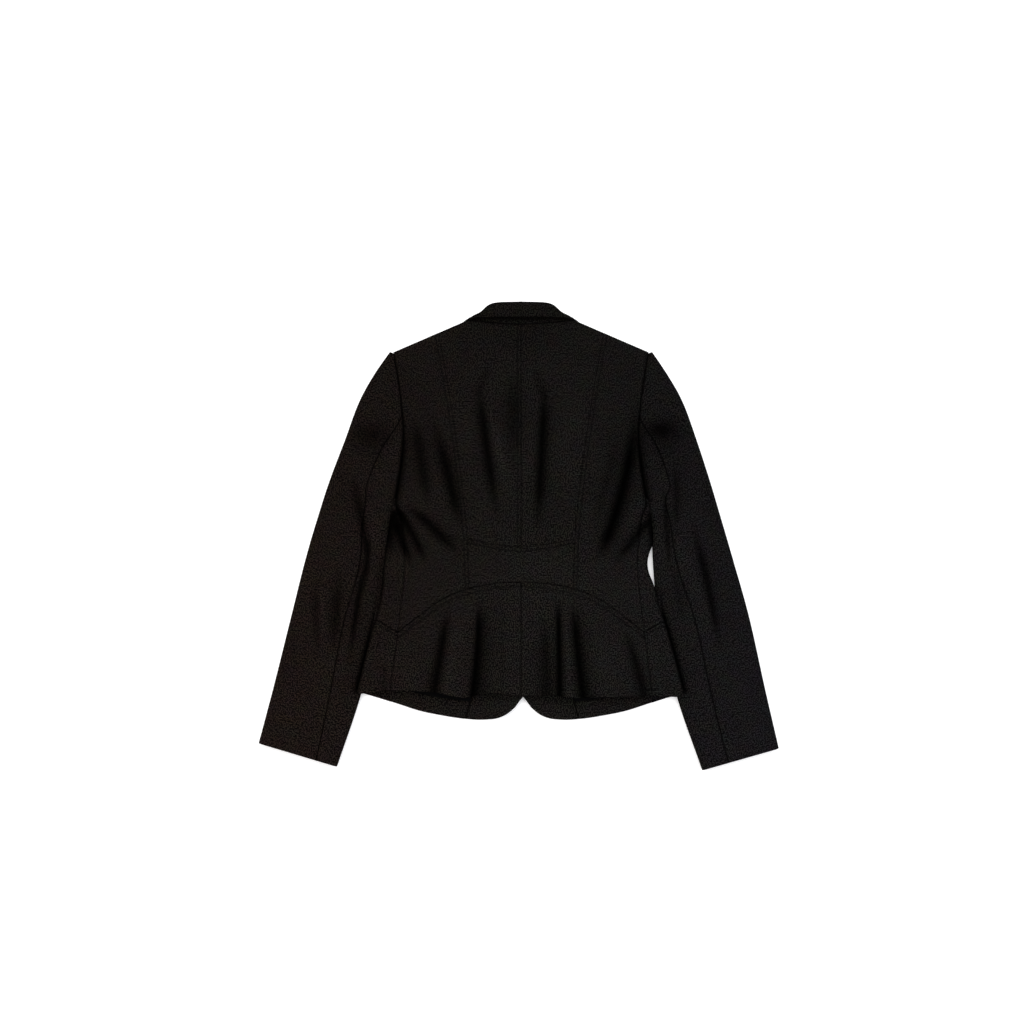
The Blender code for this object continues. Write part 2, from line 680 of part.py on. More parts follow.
def build_button():
    """A round button with a dished face, which looks down."""
    mesh = bmesh.new()
    bmesh.ops.create_cone(
        mesh, cap_ends=True, segments=32, radius1=BUTTON_RADIUS * MM, radius2=BUTTON_RADIUS * MM,
        depth=BUTTON_THICK * MM,
    )
    face = min(mesh.faces, key=lambda f: f.calc_center_median().z)
    bmesh.ops.inset_region(mesh, faces=[face], thickness=2 * MM)
    bmesh.ops.translate(mesh, verts=face.verts[:], vec=(0, 0, BUTTON_DISH * MM))
    bmesh.ops.translate(mesh, verts=mesh.verts[:], vec=Vector((FRONT_AXIS, BUTTON_Y, BUTTON_THICK / 2)) * MM)
    add_piece("button", mesh, horn)


def cloth_material(name, colour, roughness):
    made = bpy.data.materials.new(name)
    made.use_nodes = True
    shader = made.node_tree.nodes["Principled BSDF"]
    shader.inputs["Base Color"].default_value = colour
    shader.inputs["Roughness"].default_value = roughness
    return made


def centre_over_origin():
    """Puts the middle of the plan over the origin, with the lowest point at zero."""
    corners = [vert.co for piece in jacket.children for vert in piece.data.vertices]
    low = Vector(min(co[axis] for co in corners) for axis in range(3))
    high = Vector(max(co[axis] for co in corners) for axis in range(3))
    jacket.location = -(low + high) / 2
    jacket.location.z = -low.z


for old in list(bpy.data.objects):
    bpy.data.objects.remove(old)
jacket = bpy.data.objects.new("jacket", None)
bpy.context.scene.collection.objects.link(jacket)
tweed = cloth_material("tweed", TWEED_COLOUR, 0.95)
lining = cloth_material("lining", LINING_COLOUR, 0.5)
horn = cloth_material("horn", BUTTON_COLOUR, 0.4)
build_back()
build_sides()
build_fronts()
for sleeve_side in SIDES:
    Sleeve(sleeve_side).build()
build_collar()
build_button()
centre_over_origin()
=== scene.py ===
import bmesh
import bpy
import numpy as np
from mathutils import Matrix, Vector


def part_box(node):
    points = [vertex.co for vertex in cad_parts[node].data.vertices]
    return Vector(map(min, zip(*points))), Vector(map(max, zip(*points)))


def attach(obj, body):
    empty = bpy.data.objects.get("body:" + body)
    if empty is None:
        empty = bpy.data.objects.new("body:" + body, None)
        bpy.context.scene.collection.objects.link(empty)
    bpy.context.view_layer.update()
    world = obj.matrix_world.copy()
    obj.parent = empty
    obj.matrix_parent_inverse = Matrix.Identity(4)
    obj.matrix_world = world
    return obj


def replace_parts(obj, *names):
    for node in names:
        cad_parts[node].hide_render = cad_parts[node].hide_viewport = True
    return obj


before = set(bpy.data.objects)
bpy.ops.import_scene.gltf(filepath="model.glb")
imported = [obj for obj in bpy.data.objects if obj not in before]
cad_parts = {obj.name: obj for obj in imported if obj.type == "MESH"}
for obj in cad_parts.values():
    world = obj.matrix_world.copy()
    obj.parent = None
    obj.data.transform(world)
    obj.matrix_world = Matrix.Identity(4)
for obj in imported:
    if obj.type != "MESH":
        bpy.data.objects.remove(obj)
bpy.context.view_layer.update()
print("frame loaded,", len(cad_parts), "nodes")

# Lengths are millimetres in the drafting plane: x from the centre back line, y up to the collar, z off the table.
mm = 0.001
sides = {"left": -1, "right": 1}
walls = {"tweed": 2.0, "collar": 1.4, "inner": 1.2, "lapel": 1.6, "rim": 0.3}
gaps = {"seam": -0.3, "armhole": -0.2, "layer": 0.4}

# y and half width, or x and y, of each seam
body = {
    "princess": ((-90, 78), (-37, 79.5), (0, 81), (67, 87.5), (142, 97), (202, 106), (255, 115), (305, 124.5)),
    "armhole": ((48, 189.3), (83, 183), (115, 178.5), (147, 176), (190, 178.5), (236, 184.5), (274, 191)),
    "sideBack": (
        (-242, 197), (-193, 191), (-146, 185), (-105, 180), (-75, 176.5),
        (-45, 174.5), (-20, 175.5), (5, 178), (30, 183), (48, 189), (60, 186),
    ),
    "sideEdge": {
        "left": (
            (-243, 248.2), (-190, 235.6), (-140, 222.6), (-100, 211.4), (-72, 207.4),
            (-55, 206.5), (-36, 205), (-15, 203.5), (10, 200), (48, 192.5),
        ),
        "right": (
            (-243, 246.2), (-190, 232.6), (-140, 218.6), (-100, 206), (-82, 202), (-70, 197.5),
            (-55, 191.8), (-38, 190.4), (-24, 194), (-14, 198.5), (10, 199.5), (48, 192.5),
        ),
    },
    "smile": ((-81, -6), (-33, -15), (0, -18.5), (33, -15), (81, -6)),
    "arch": (
        (-190, -150), (-150, -119.5), (-118, -96.5), (-83, -82), (-47, -74),
        (0, -70.5), (47, -74), (83, -82), (118, -96.5), (150, -119.5), (190, -150),
    ),
    "neckline": ((-80, 322), (-45, 318.5), (0, 316), (45, 318.5), (80, 322)),
    "backHem": (
        (-250, -238), (-198, -233), (-129, -236), (-76, -243), (-60, -239),
        (0, -240), (51, -241), (80, -244), (111, -243), (193, -241), (250, -243),
    ),
    "loft": ((-245, 21), (-146, 18.5), (-36, 18), (60, 20), (170, 22), (260, 22), (325, 21)),
    "neckPoint": (80.0, 322.0), "shoulderPoint": (191.0, 274.0), "underarm": 48.0, "hem": -240.0,
    "shoulderRoll": 18.0, "shoulderBack": 13.0, "shoulderFront": 8.0,
    "sideRoll": 7.0, "underarmRoll": 2.0, "sideFall": 0.38, "sideFallPower": 6,
    "sideSeam": -146.0, "sideSeamRise": 0.58, "sideSeamAt": -135.0,
    "sideInset": 0.3, "archInset": 0.15, "sidePanelTop": 56.0, "fallFade": (20.0, 150.0), "armholeRamp": 15.0,
}

# Troughs have a negative depth, ridges a positive one; left and right are the widths to either side, and shade
# is how much shade is painted into a trough; a negative shade paints a highlight onto a ridge. A fold that does not
# fade out widens to the hem.
foldColumns = ("topX", "topY", "midX", "lowX", "lowY", "left", "right", "depth", "shade", "fadeIn", "fadeOut")
folds = {
    "back": (
        (-66, 242, -50, -33, 8, 8, 6, -4.5, 0.82, 0.32, 0.38),
        (-49, 205, -35, -19, 62, 6, 6, 1.8, -0.5, 0.45, 0.45),
        (-47, 262, -56, -66, 198, 5, 5, -1.5, 0.35, 0.4, 0.3),
        (36, 245, 30.3, 23, -8, 6, 9, -4.5, 0.86, 0.3, 0.32),
        (20, 190, 15, 17, 60, 6, 6, 1.0, -0.12, 0.4, 0.4),
        (19, 252, 27, 36, 198, 5, 5, -1.5, 0.35, 0.4, 0.3),
        (-11, 260, -12, -13, 75, 12, 13, -1.5, 0.52, 0.35, 0.55),
        (-172, 220, -141, -116, 45, 7, 7, 2.2, -0.12, 0.3, 0.35),
        (-161, 190, -149.5, -136, 30, 8, 8, -2.2, 0.62, 0.35, 0.35),
        (-138, 192, -110.5, -90, -2, 8, 9, -4.0, 0.84, 0.45, 0.3),
        (-190, 46, -160, -139, -54, 5, 5, -4.2, 0.86, 0.15, 0.4),
        (-190, 24, -175, -159, -60, 7, 6, -3.5, 0.88, 0.15, 0.5),
        (-193, 40, -184, -176, -8, 8, 7, -2.0, 0.72, 0.12, 0.5),
        (-178, 52, -128, -88, -38, 8, 7, -4.0, 0.8, 0.3, 0.4),
        (-186, 50, -147, -118, -40, 5, 5, 2.2, -0.2, 0.2, 0.4),
        (172, 215, 155.5, 111, -48, 8, 11, -5.0, 0.97, 0.4, 0.18),
        (150, 170, 128, 104, -8, 6, 6, -0.8, 0.3, 0.4, 0.35),
        (190, 62, 162, 132, -30, 7, 7, 2.5, -0.15, 0.25, 0.4),
        (197, 28, 166, 138, -50, 6, 6, -4.0, 0.76, 0.15, 0.4),
        (-106.5, -95, -120.6, -134.7, -262, 9, 8, -5.0, 0.86, 0.36, 0.0),
        (-95, -105, -104, -115, -262, 7, 9, 3.0, -0.25, 0.5, 0.0),
        (-64, -88, -67, -77, -262, 4.5, 15, -6.5, 0.95, 0.3, 0.0),
        (-28, -92, -28.5, -28, -262, 2, 2, -0.5, 0.25, 0.3, 0.0),
        (55.5, -88, 57.2, 58.2, -262, 6, 6, -6.5, 0.96, 0.26, 0.0),
        (34, -105, 37, 38, -262, 13, 10, -2.0, 0.62, 0.45, 0.0),
        (66, -98, 69.5, 74, -262, 6, 6, 3.0, -0.25, 0.4, 0.0),
        (77, -92, 84.7, 95, -262, 7.5, 13, -5.5, 0.92, 0.32, 0.0),
        (118, -130, 124, 132, -262, 16, 18, 1.5, -0.1, 0.5, 0.0),
        (150, -125, 172.5, 189, -262, 9, 8, -3.0, 0.74, 0.45, 0.0),
        (-203, -180, -204, -206, -262, 8, 4, -0.8, 0.35, 0.5, 0.0),
    ),
    "left": (
        (-249, 105, -249, -246, 8, 5, 5, -1.5, 0.35, 0.4, 0.4),
        (-248, 88, -238, -228, -46, 5, 4, -2.5, 0.7, 0.4, 0.3),
        (-229, -22, -248, -260, -222, 4.5, 4.5, -2.5, 0.85, 0.3, 0.5),
        (-228, 8, -230, -237, -90, 5, 4, -2.5, 0.75, 0.3, 0.4),
        (-217, 40, -221, -234, -110, 7, 6, 1.5, -0.25, 0.4, 0.4),
        (-309, -45, -307, -304, -200, 5, 5, -2.0, 0.45, 0.4, 0.4),
        (-271, -35, -276, -284, -195, 10, 7, -3.0, 0.6, 0.4, 0.4),
        (-298, -60, -298, -298, -190, 5, 5, 1.2, -0.25, 0.4, 0.4),
        (-270, 118, -268, -272, 20, 10, 10, -1.0, 0.15, 0.4, 0.4),
    ),
    "right": (
        (228, 120, 233, 229, -5, 4, 6, -2.0, 0.55, 0.35, 0.35),
        (250, 35, 281, 300, -195, 5, 6, -3.5, 0.75, 0.35, 0.4),
        (213, 80, 219, 223, -70, 4, 4, -2.0, 0.65, 0.35, 0.4),
        (240, -10, 264, 282, -160, 8, 8, 1.2, -0.12, 0.4, 0.4),
        (224, -30, 236, 246, -150, 5, 5, -1.2, 0.35, 0.4, 0.4),
        (286, 110, 298, 312, -20, 10, 10, -0.8, 0.2, 0.4, 0.4),
    ),
}
# Broad hollows: middle, half widths across and along, depth and painted shade
dentColumns = ("x", "y", "across", "along", "depth", "shade")
dents = {
    "back": ((-150, 120, 26, 50, -0.8, 0.22), (0, 292, 70, 22, -0.6, 0.12), (140, 120, 22, 60, -0.6, 0.15)),
    "left": ((-224, 150, 29, 17, -3.0, 0.5), (-222, 128, 24, 30, -0.8, 0.2)),
    "right": ((210, 157, 24, 14, -4.0, 0.78), (214, 135, 26, 30, -0.8, 0.25)),
}

# How a fold's painted shade spreads beyond it, the share that does, and how narrow a fold starts
foldLook = {"spread": 2.2, "soft": 0.25, "narrow": 0.5}

# How far a seam or a line of stitches draws the cloth down, and how much shade is painted along it
seamLook = {
    "fine": {"dip": 0.8, "width": 1.0, "dark": 0.66, "darkWidth": 0.72},
    "seam": {"dip": 1.1, "width": 1.2, "dark": 0.88, "darkWidth": 1.0},
    "deep": {"dip": 1.2, "width": 1.2, "dark": 0.82, "darkWidth": 0.75},
    "armhole": {"dip": 2.0, "width": 2.0, "dark": 0.9, "darkWidth": 1.3, "soft": 0.1, "softWidth": 4.0},
    "stitch": {"dip": 0.7, "width": 0.8, "dark": 0.8, "darkWidth": 0.75},
    "padding": 0.6, "paddingRamp": (-0.4, 1.6), "edgeRound": 1.3,
    "underarmShade": 0.85, "underarmWidth": {"left": (7.0, 4.0), "right": (3.5, 8.0)},
    "underarmRise": (-30.0, 40.0), "underarmFade": (110.0, 200.0),
}
# Distances from an edge, or from a line of stitches, at which a grid has lines
seamLines = (0, 0.45, 0.9, 1.5, 2.3, 3.6)
nearLines = {
    "fine": seamLines, "seam": seamLines, "deep": seamLines, "plain": (0, 3.0),
    "armhole": (0, 0.5, 1.0, 1.7, 2.6, 4.0), "edge": (0, 0.12, 0.4, 0.85, 1.4, 2.4, 4.0),
}
besideStitch = {"clear": 1.2, "lines": (-1.1, -0.5, 0, 0.5, 1.1, 2.4)}


def curve(points):
    keys, values = np.array(points, float).T
    spans = np.diff(keys)
    rises = np.diff(values) / spans
    middle = (rises[:-1] * spans[1:] + rises[1:] * spans[:-1]) / (spans[:-1] + spans[1:])
    slopes = np.concatenate((rises[:1], middle, rises[-1:]))

    def at(place):
        place = np.asarray(place, float)
        i = np.clip(np.searchsorted(keys, place, side="right") - 1, 0, len(spans) - 1)
        t = np.clip((place - keys[i]) / spans[i], 0, 1)
        start = (1 + 2 * t) * (1 - t) ** 2 * values[i] + t * (1 - t) ** 2 * spans[i] * slopes[i]
        end = t * t * (3 - 2 * t) * values[i + 1] + t * t * (t - 1) * spans[i] * slopes[i + 1]
        before = np.minimum(place - keys[0], 0) * slopes[0]
        after = np.maximum(place - keys[-1], 0) * slopes[-1]
        return start + end + before + after

    return at


def ease(low, high, place):
    t = np.clip((place - low) / (high - low), 0, 1)
    return t * t * (3 - 2 * t)


def blend(a, b, t):
    return a + (b - a) * t


def bump(away, width):
    return np.exp(-((away / width) ** 2))


def roll(inside, depth):
    t = np.clip(inside / depth, 0, 1)
    return np.sqrt(1 - (1 - t) ** 2)


princess, armhole, sideBack, smile, arch, neckline, backHem, loft = (
    curve(body[seam])
    for seam in ("princess", "armhole", "sideBack", "smile", "arch", "neckline", "backHem", "loft")
)
sideEdge = {side: curve(rows) for side, rows in body["sideEdge"].items()}
neckX, neckY = body["neckPoint"]
shoulderSlope = (body["shoulderPoint"][1] - neckY) / (body["shoulderPoint"][0] - neckX)


def shoulder(half):
    return neckY + shoulderSlope * (half - neckX)


def belowShoulder(x, y):
    level = shoulder(np.maximum(np.abs(x), neckX - body["shoulderRoll"]))
    return (level - y) / np.hypot(1, shoulderSlope)


def backTop(half):
    return np.where(half < neckX, neckline(half), shoulder(half))


def bodySide(y):
    return np.where(y > body["underarm"], armhole(y), sideBack(y) - body["sideInset"])


# Height of a layer's folds, and at each point the shade painted into its hollows, negative where a highlight is
# painted onto a ridge
def foldRelief(layer, x, y):
    height, light = np.zeros(np.shape(y + x)), np.ones(np.shape(y + x))
    for row in folds[layer]:
        fold = dict(zip(foldColumns, row))
        t = (fold["topY"] - y) / (fold["topY"] - fold["lowY"])
        bend = fold["midX"] - (fold["topX"] + fold["lowX"]) / 2
        middle = blend(fold["topX"], fold["lowX"], t) + 4 * bend * t * (1 - t)
        lean = (fold["lowX"] - fold["topX"] + 4 * bend * (1 - 2 * t)) / (fold["topY"] - fold["lowY"])
        away = (x - middle) / np.hypot(1, lean)
        reach = ease(0, fold["fadeIn"], t) * (t < 1)
        if fold["fadeOut"]:
            reach = reach * (1 - ease(1 - fold["fadeOut"], 1, t))
        width = np.where(away < 0, fold["left"], fold["right"])
        width = width * blend(foldLook["narrow"], 1, reach if fold["fadeOut"] else np.clip(t, 0, 1))
        height += fold["depth"] * reach * bump(away, width)
        spread = bump(away, foldLook["spread"] * width)
        light *= 1 - fold["shade"] * reach * blend(bump(away, width), spread, foldLook["soft"])
    for row in dents[layer]:
        dent = dict(zip(dentColumns, row))
        core = bump(x - dent["x"], dent["across"]) * bump(y - dent["y"], dent["along"])
        height += dent["depth"] * core
        light *= 1 - dent["shade"] * core
    return height, 1 - light


# The slight unevenness of pressed wool that has been worn: the height of each wave, then its length, sway and
# sway's length across and along
waves = ((0.45, (31, 1.4, 47), (43, 1.1, 37)), (0.14, (9.1, 1.7, 14), (12.3, 1.3, 10.7)))


def waver(x, y):
    total = 0
    for height, (across, swayX, byY), (along, swayY, byX) in waves:
        sideways, lengthwise = x / across + swayX * np.sin(y / byY), y / along + swayY * np.sin(x / byX)
        total = total + height * np.sin(sideways) * np.sin(lengthwise)
    return total


def backHeight(x, y):
    edge = np.where(x < 0, *(sideEdge[side](np.minimum(y, body["underarm"])) for side in sides))
    fall = 1 - body["sideFall"] * np.minimum(1, np.abs(x) / edge) ** body["sideFallPower"]
    relief, paintedShade = foldRelief("back", x, y)
    flat = loft(y) * blend(fall, 1, ease(*body["fallFade"], y)) + relief + waver(x, y)
    return blend(body["shoulderBack"], flat, roll(belowShoulder(x, y), body["shoulderRoll"])), paintedShade


def runLength(points, axis):
    steps = np.linalg.norm(np.diff(points, axis=axis), axis=-1)
    run = np.cumsum(steps, axis=axis)
    return np.concatenate((np.zeros_like(np.take(run, [0], axis=axis)), run), axis=axis)


# Lines of a grid: a fixed distance from either edge near it, and evenly spread between
def gridLines(near, far, spacing, length):
    between = np.linspace(0, 1, max(2, round((length - near[-1] - far[-1]) / spacing)) + 1)
    fromStart = np.concatenate((near[:-1], near[-1] * (1 - between), np.zeros(len(far) - 1)))
    share = np.concatenate((np.zeros(len(near) - 1), between, np.ones(len(far) - 1)))
    fromEnd = np.concatenate((np.zeros(len(near) - 1), far[-1] * between, far[-2::-1]))
    return fromStart, share, fromEnd


def edgeLines(kind):
    name, *stitch = kind
    lines = nearLines[name]
    for at in stitch:
        lines = tuple(line for line in lines if line < at - besideStitch["clear"])
        lines += tuple(at + beside for beside in besideStitch["lines"])
    return lines


# Dip, painted shade and wall share that the finish of an edge gives at a distance from it
def edgeFinish(kind, away):
    name, *stitch = kind
    dip, dark, wall = np.zeros_like(away), np.zeros_like(away), np.ones_like(away)
    if name in seamLook:
        look = seamLook[name]
        dip -= look["dip"] * bump(away, look["width"])
        dark += look["dark"] * bump(away, look["darkWidth"])
        if "soft" in look:
            dark += look["soft"] * bump(away, look["softWidth"])
    if name == "edge":
        wall = walls["rim"] + (1 - walls["rim"]) * roll(away, seamLook["edgeRound"])
    if stitch:
        look, line = seamLook["stitch"], away - stitch[0]
        dip += seamLook["padding"] * (1 - ease(*seamLook["paddingRamp"], line))
        dip -= look["dip"] * bump(line, look["width"])
        dark += look["dark"] * bump(line, look["darkWidth"])
    return dip, dark, wall


low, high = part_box("button")
front = {
    "axis": 3.0, "lap": 12.0, "lapRise": 5.2, "lapRamp": 50.0, "lapFade": (110.0, 190.0),
    "breakY": 60.0, "breakRamp": (20.0, 55.0), "inset": -0.3, "apart": 0.0015,
    "facingShare": 0.386, "facingTop": 0.51, "turnUp": 0.044, "liningTop": 0.23,
    "hem": (
        (-14, -220), (0, -243), (6, -250.5), (10, -256.5), (16, -262.5), (23.5, -268.5), (36, -274.5),
        (56, -277.4), (87, -276.2), (123, -270.8), (151, -265.2), (195, -251.4), (238, -240),
    ),
    "edge": (
        (-243, 0), (-225, -6), (-195, -12), (-80, -12), (40, -12), (60, -11), (150, 19), (240, 49), (322, 77),
    ),
}
lapel = {
    "low": 108.0, "lift": 2.2, "ramp": 26.0, "margin": 12.0, "gorge": (60.0, 270.0), "gorgeSlope": -0.35,
    "edge": ((72, 6), (98, 28), (130, 51), (170, 72), (215, 90), (262, 100), (322, 102)),
}
button = {"y": 22.0, "radius": 10.0, "thick": 3.0, "dish": 1.0, "lift": 3.4, "flat": 36.0, "spread": 90.0}
draftOrigin = ((low + high) / 2 / mm).xy - Vector((front["axis"], button["y"]))

frontHem = curve(front["hem"])
frontEdge = curve(front["edge"])
lapelEdge = curve(lapel["edge"])


def frontHeight(side, x, y):
    half = sides[side] * (x - front["axis"])
    under = ease(-lapel["ramp"], 0, lapelEdge(y) + lapel["margin"] - half)
    raised = lapel["lift"] * under * ease(*front["breakRamp"], y)
    away = np.hypot(x - front["axis"], y - button["y"])
    raised = np.maximum(raised, button["lift"] * (1 - ease(button["flat"], button["spread"], away)))
    if side == "left":
        lap = 1 - ease(front["lap"], front["lap"] + front["lapRamp"], half)
        raised = raised + front["lapRise"] * lap * (1 - ease(*front["lapFade"], y))
    return blend(body["shoulderFront"], raised, roll(belowShoulder(x, y), body["shoulderRoll"]))


def toWorld(points):
    shift = np.array((draftOrigin.x, draftOrigin.y, 0))
    return (points + shift) * mm


# A socket of a node tree: sums on it add Math nodes, and make adds any other node
class Socket:
    def __init__(self, tree, output=None):
        self.tree = tree
        self.output = output

    def make(self, kind, settings, sockets, output=0):
        node = self.tree.nodes.new(kind)
        for name, value in settings.items():
            setattr(node, name, value)
        for name, value in sockets.items():
            if isinstance(value, Socket):
                self.tree.links.new(value.output, node.inputs[name])
            else:
                node.inputs[name].default_value = value
        return Socket(self.tree, node.outputs[output])

    def of(self, output):
        return Socket(self.tree, self.output.node.outputs[output])

    def maths(self, operation, first, second=0.0):
        return self.make("ShaderNodeMath", {"operation": operation}, {0: first, 1: second})

    def mix(self, factor, first, second, how="MIX"):
        settings = {"data_type": "RGBA", "blend_type": how}
        return self.make("ShaderNodeMix", settings, {"Factor": factor, 6: first, 7: second}, 2)

    def noise(self, scale, detail):
        return self.make("ShaderNodeTexNoise", {}, {"Vector": self, "Scale": scale, "Detail": detail})

    def times(self, vector):
        return self.make("ShaderNodeVectorMath", {"operation": "MULTIPLY"}, {0: self, 1: vector})

    def relief(self, strength, height):
        return self.make("ShaderNodeBump", {}, {"Strength": strength, "Distance": height, "Height": self})

    def __add__(self, other):
        return self.maths("ADD", self, other)

    def __sub__(self, other):
        return self.maths("SUBTRACT", self, other)

    def __rsub__(self, other):
        return self.maths("SUBTRACT", other, self)

    def __mul__(self, other):
        return self.maths("MULTIPLY", self, other)

    __radd__ = __add__
    __rmul__ = __mul__


def newMaterial(name, constants):
    material = bpy.data.materials.new(name)
    material.use_nodes = True
    for socket, value in constants.items():
        material.node_tree.nodes["Principled BSDF"].inputs[socket].default_value = value
    return material, Socket(material.node_tree)


def joined(material, sockets):
    for name, value in sockets.items():
        material.node_tree.links.new(value.output, material.node_tree.nodes["Principled BSDF"].inputs[name])
    return material


# The grain map in millimetres, and the place on the table in metres
def grainMap(start):
    grain = start.make("ShaderNodeUVMap", {"uv_map": "grain"}, {})
    return grain.make("ShaderNodeVectorMath", {"operation": "SCALE"}, {0: grain, "Scale": 1 / mm})


def tablePlace(start):
    return start.make("ShaderNodeTexCoord", {}, {}, "Object")


# The lengthwise share darkens the cloth towards the top as a painted light falloff, and the tint colours paint a
# warm light on the left and a cool light on the right
tweed = {
    "column": 4.6, "columnSway": 1.6, "twill": 1.0, "twillSway": 2.4, "pitch": 4.4, "wander": 0.12,
    "grain": 0.66, "squash": (1.0, 0.72, 1.0), "twillShare": 0.16, "contrast": 5.4, "level": 0.42,
    "dark": (0.0002, 0.0002, 0.0002, 1), "light": (0.0131, 0.0126, 0.0113, 1), "fleck": 0.05, "fleckShare": 0.2,
    "patch": 7.0, "patchFrom": 0.8, "patchRange": 0.4, "lengthwise": 0.5, "paintedLightRamp": 3.0, "paintedCoolFrom": 0.25,
    "middle": (1.02, 0.98, 0.97, 1), "paintedWarmLight": (1.15, 0.84, 0.78, 1), "paintedCoolLight": (0.84, 0.82, 1.02, 1),
    "bump": 0.5, "bumpHeight": 0.0004, "rough": 0.97, "roughFall": 0.12, "gloss": 0.004, "index": 1.4,
}


# Herringbone wool: twill that turns back at each column, broken up by uneven yarn and coloured flecks
def tweedMaterial():
    material, start = newMaterial("black tweed", {"Specular IOR Level": tweed["gloss"], "IOR": tweed["index"]})
    flat = grainMap(start)
    across = flat.make("ShaderNodeSeparateXYZ", {}, {0: flat})
    wander = flat.noise(tweed["wander"], 1.0)
    turn = across.maths("PINGPONG", across + wander * tweed["columnSway"], tweed["column"])
    climb = across.of("Y") + turn * tweed["twill"] + wander * tweed["twillSway"]
    twill = across.maths("SINE", climb * (2 * np.pi / tweed["pitch"]))
    yarn = flat.times(tweed["squash"]).noise(tweed["grain"], 0.0)
    weave = twill * tweed["twillShare"] + (yarn - 0.5) * tweed["contrast"] + tweed["level"]
    weave = weave.make("ShaderNodeClamp", {}, {"Value": weave})
    colour = weave.mix(weave, tweed["dark"], tweed["light"])
    flecks = flat.noise(tweed["fleck"], 1.0).of("Color")
    colour = colour.mix(tweed["fleckShare"], colour, flecks, "OVERLAY")
    place = tablePlace(start)
    patches = place.noise(tweed["patch"], 2.0) * tweed["patchRange"] + tweed["patchFrom"]
    # Random patches of tone, times the shade painted into the folds, seams and edges of each piece, times a painted
    # light falloff towards the top; then painted warm light on the left and painted cool light on the right
    paintedShade = start.make("ShaderNodeAttribute", {"attribute_name": "paintedShade"}, {}, "Fac")
    aside = place.make("ShaderNodeSeparateXYZ", {}, {0: place})
    depth = (1 - paintedShade) * patches * (1 - aside.of("Y") * tweed["lengthwise"])
    shade = depth.make("ShaderNodeCombineColor", {}, {0: depth, 1: depth, 2: depth})
    paintedLightTint = aside.mix(aside * -tweed["paintedLightRamp"], tweed["middle"], tweed["paintedWarmLight"])
    paintedLightTint = aside.mix(aside * tweed["paintedLightRamp"] - tweed["paintedCoolFrom"], paintedLightTint, tweed["paintedCoolLight"])
    for layer in (shade, paintedLightTint):
        colour = colour.mix(1.0, colour, layer, "MULTIPLY")
    return joined(material, {
        "Base Color": colour, "Roughness": tweed["rough"] - weave * tweed["roughFall"],
        "Normal": weave.relief(tweed["bump"], tweed["bumpHeight"]),
    })


lining = {
    "colour": (0.0004, 0.0004, 0.0005, 1), "sheen": (0.0010, 0.0010, 0.0013, 1), "thread": 2.2, "ribShare": 0.4,
    "soft": 0.05, "bump": 0.12, "bumpHeight": 0.0002, "rough": 0.42, "roughRise": 0.2, "gloss": 0.03,
}


# Smooth twill lining with a fine diagonal rib
def liningMaterial():
    material, start = newMaterial("black lining", {"Specular IOR Level": lining["gloss"]})
    flat = grainMap(start)
    across = flat.make("ShaderNodeSeparateXYZ", {}, {0: flat})
    rib = across.maths("SINE", (across + across.of("Y")) * (2 * np.pi / lining["thread"])) * 0.5 + 0.5
    soft = flat.noise(lining["soft"], 3.0)
    tone = rib * lining["ribShare"] + soft * (1 - lining["ribShare"])
    return joined(material, {
        "Base Color": tone.mix(tone, lining["colour"], lining["sheen"]),
        "Roughness": lining["rough"] + soft * lining["roughRise"],
        "Normal": rib.relief(lining["bump"], lining["bumpHeight"]),
    })


horn = {
    "dark": (0.004, 0.0037, 0.0035, 1), "light": (0.016, 0.013, 0.011, 1), "scale": 160.0, "drawn": (1.0, 0.25, 1.0),
    "rough": 0.35, "roughRise": 0.2, "gloss": 0.3,
}


# Dull black horn with faint streaks
def hornMaterial():
    material, start = newMaterial("black horn", {"Specular IOR Level": horn["gloss"]})
    streak = tablePlace(start).times(horn["drawn"]).noise(horn["scale"], 4.0)
    return joined(material, {
        "Base Color": streak.mix(streak, horn["dark"], horn["light"]),
        "Roughness": horn["rough"] + streak * horn["roughRise"],
    })


thread = {
    "dark": (0.0016, 0.0016, 0.0016, 1), "light": (0.006, 0.0058, 0.0055, 1), "ply": 2400.0,
    "bump": 0.3, "bumpHeight": 0.0001, "rough": 0.75, "roughRise": 0.15, "gloss": 0.06,
}


# Twisted black sewing thread
def threadMaterial():
    material, start = newMaterial("black thread", {"Specular IOR Level": thread["gloss"]})
    wave = {"Vector": tablePlace(start), "Scale": thread["ply"], "Distortion": 1.0}
    twist = start.make("ShaderNodeTexWave", {"bands_direction": "DIAGONAL"}, wave).of("Fac")
    return joined(material, {
        "Base Color": twist.mix(twist, thread["dark"], thread["light"]),
        "Roughness": thread["rough"] + twist * thread["roughRise"],
        "Normal": twist.relief(thread["bump"], thread["bumpHeight"]),
    })


materials = {
    "tweed": tweedMaterial(), "lining": liningMaterial(), "horn": hornMaterial(), "thread": threadMaterial(),
}
print("materials made")
cuts = []
creaseAngles = {"cloth": np.radians(60), "horn": np.radians(40)}


def addObject(name, data):
    added = bpy.data.objects.new(name, data)
    bpy.context.scene.collection.objects.link(added)
    return added


def addPiece(data, look):
    data.materials.append(materials[look])
    piece = addObject(data.name, data)
    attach(piece, "root")
    return piece


def meshData(name, mesh):
    data = bpy.data.meshes.new(name)
    mesh.to_mesh(data)
    mesh.free()
    return data


# A mesh drafted in millimetres, laid on the table
def laidOut(name, mesh):
    bmesh.ops.translate(mesh, verts=mesh.verts[:], vec=draftOrigin.to_3d())
    bmesh.ops.scale(mesh, verts=mesh.verts[:], vec=(mm, mm, mm))
    data = meshData(name, mesh)
    data.shade_smooth()
    return data


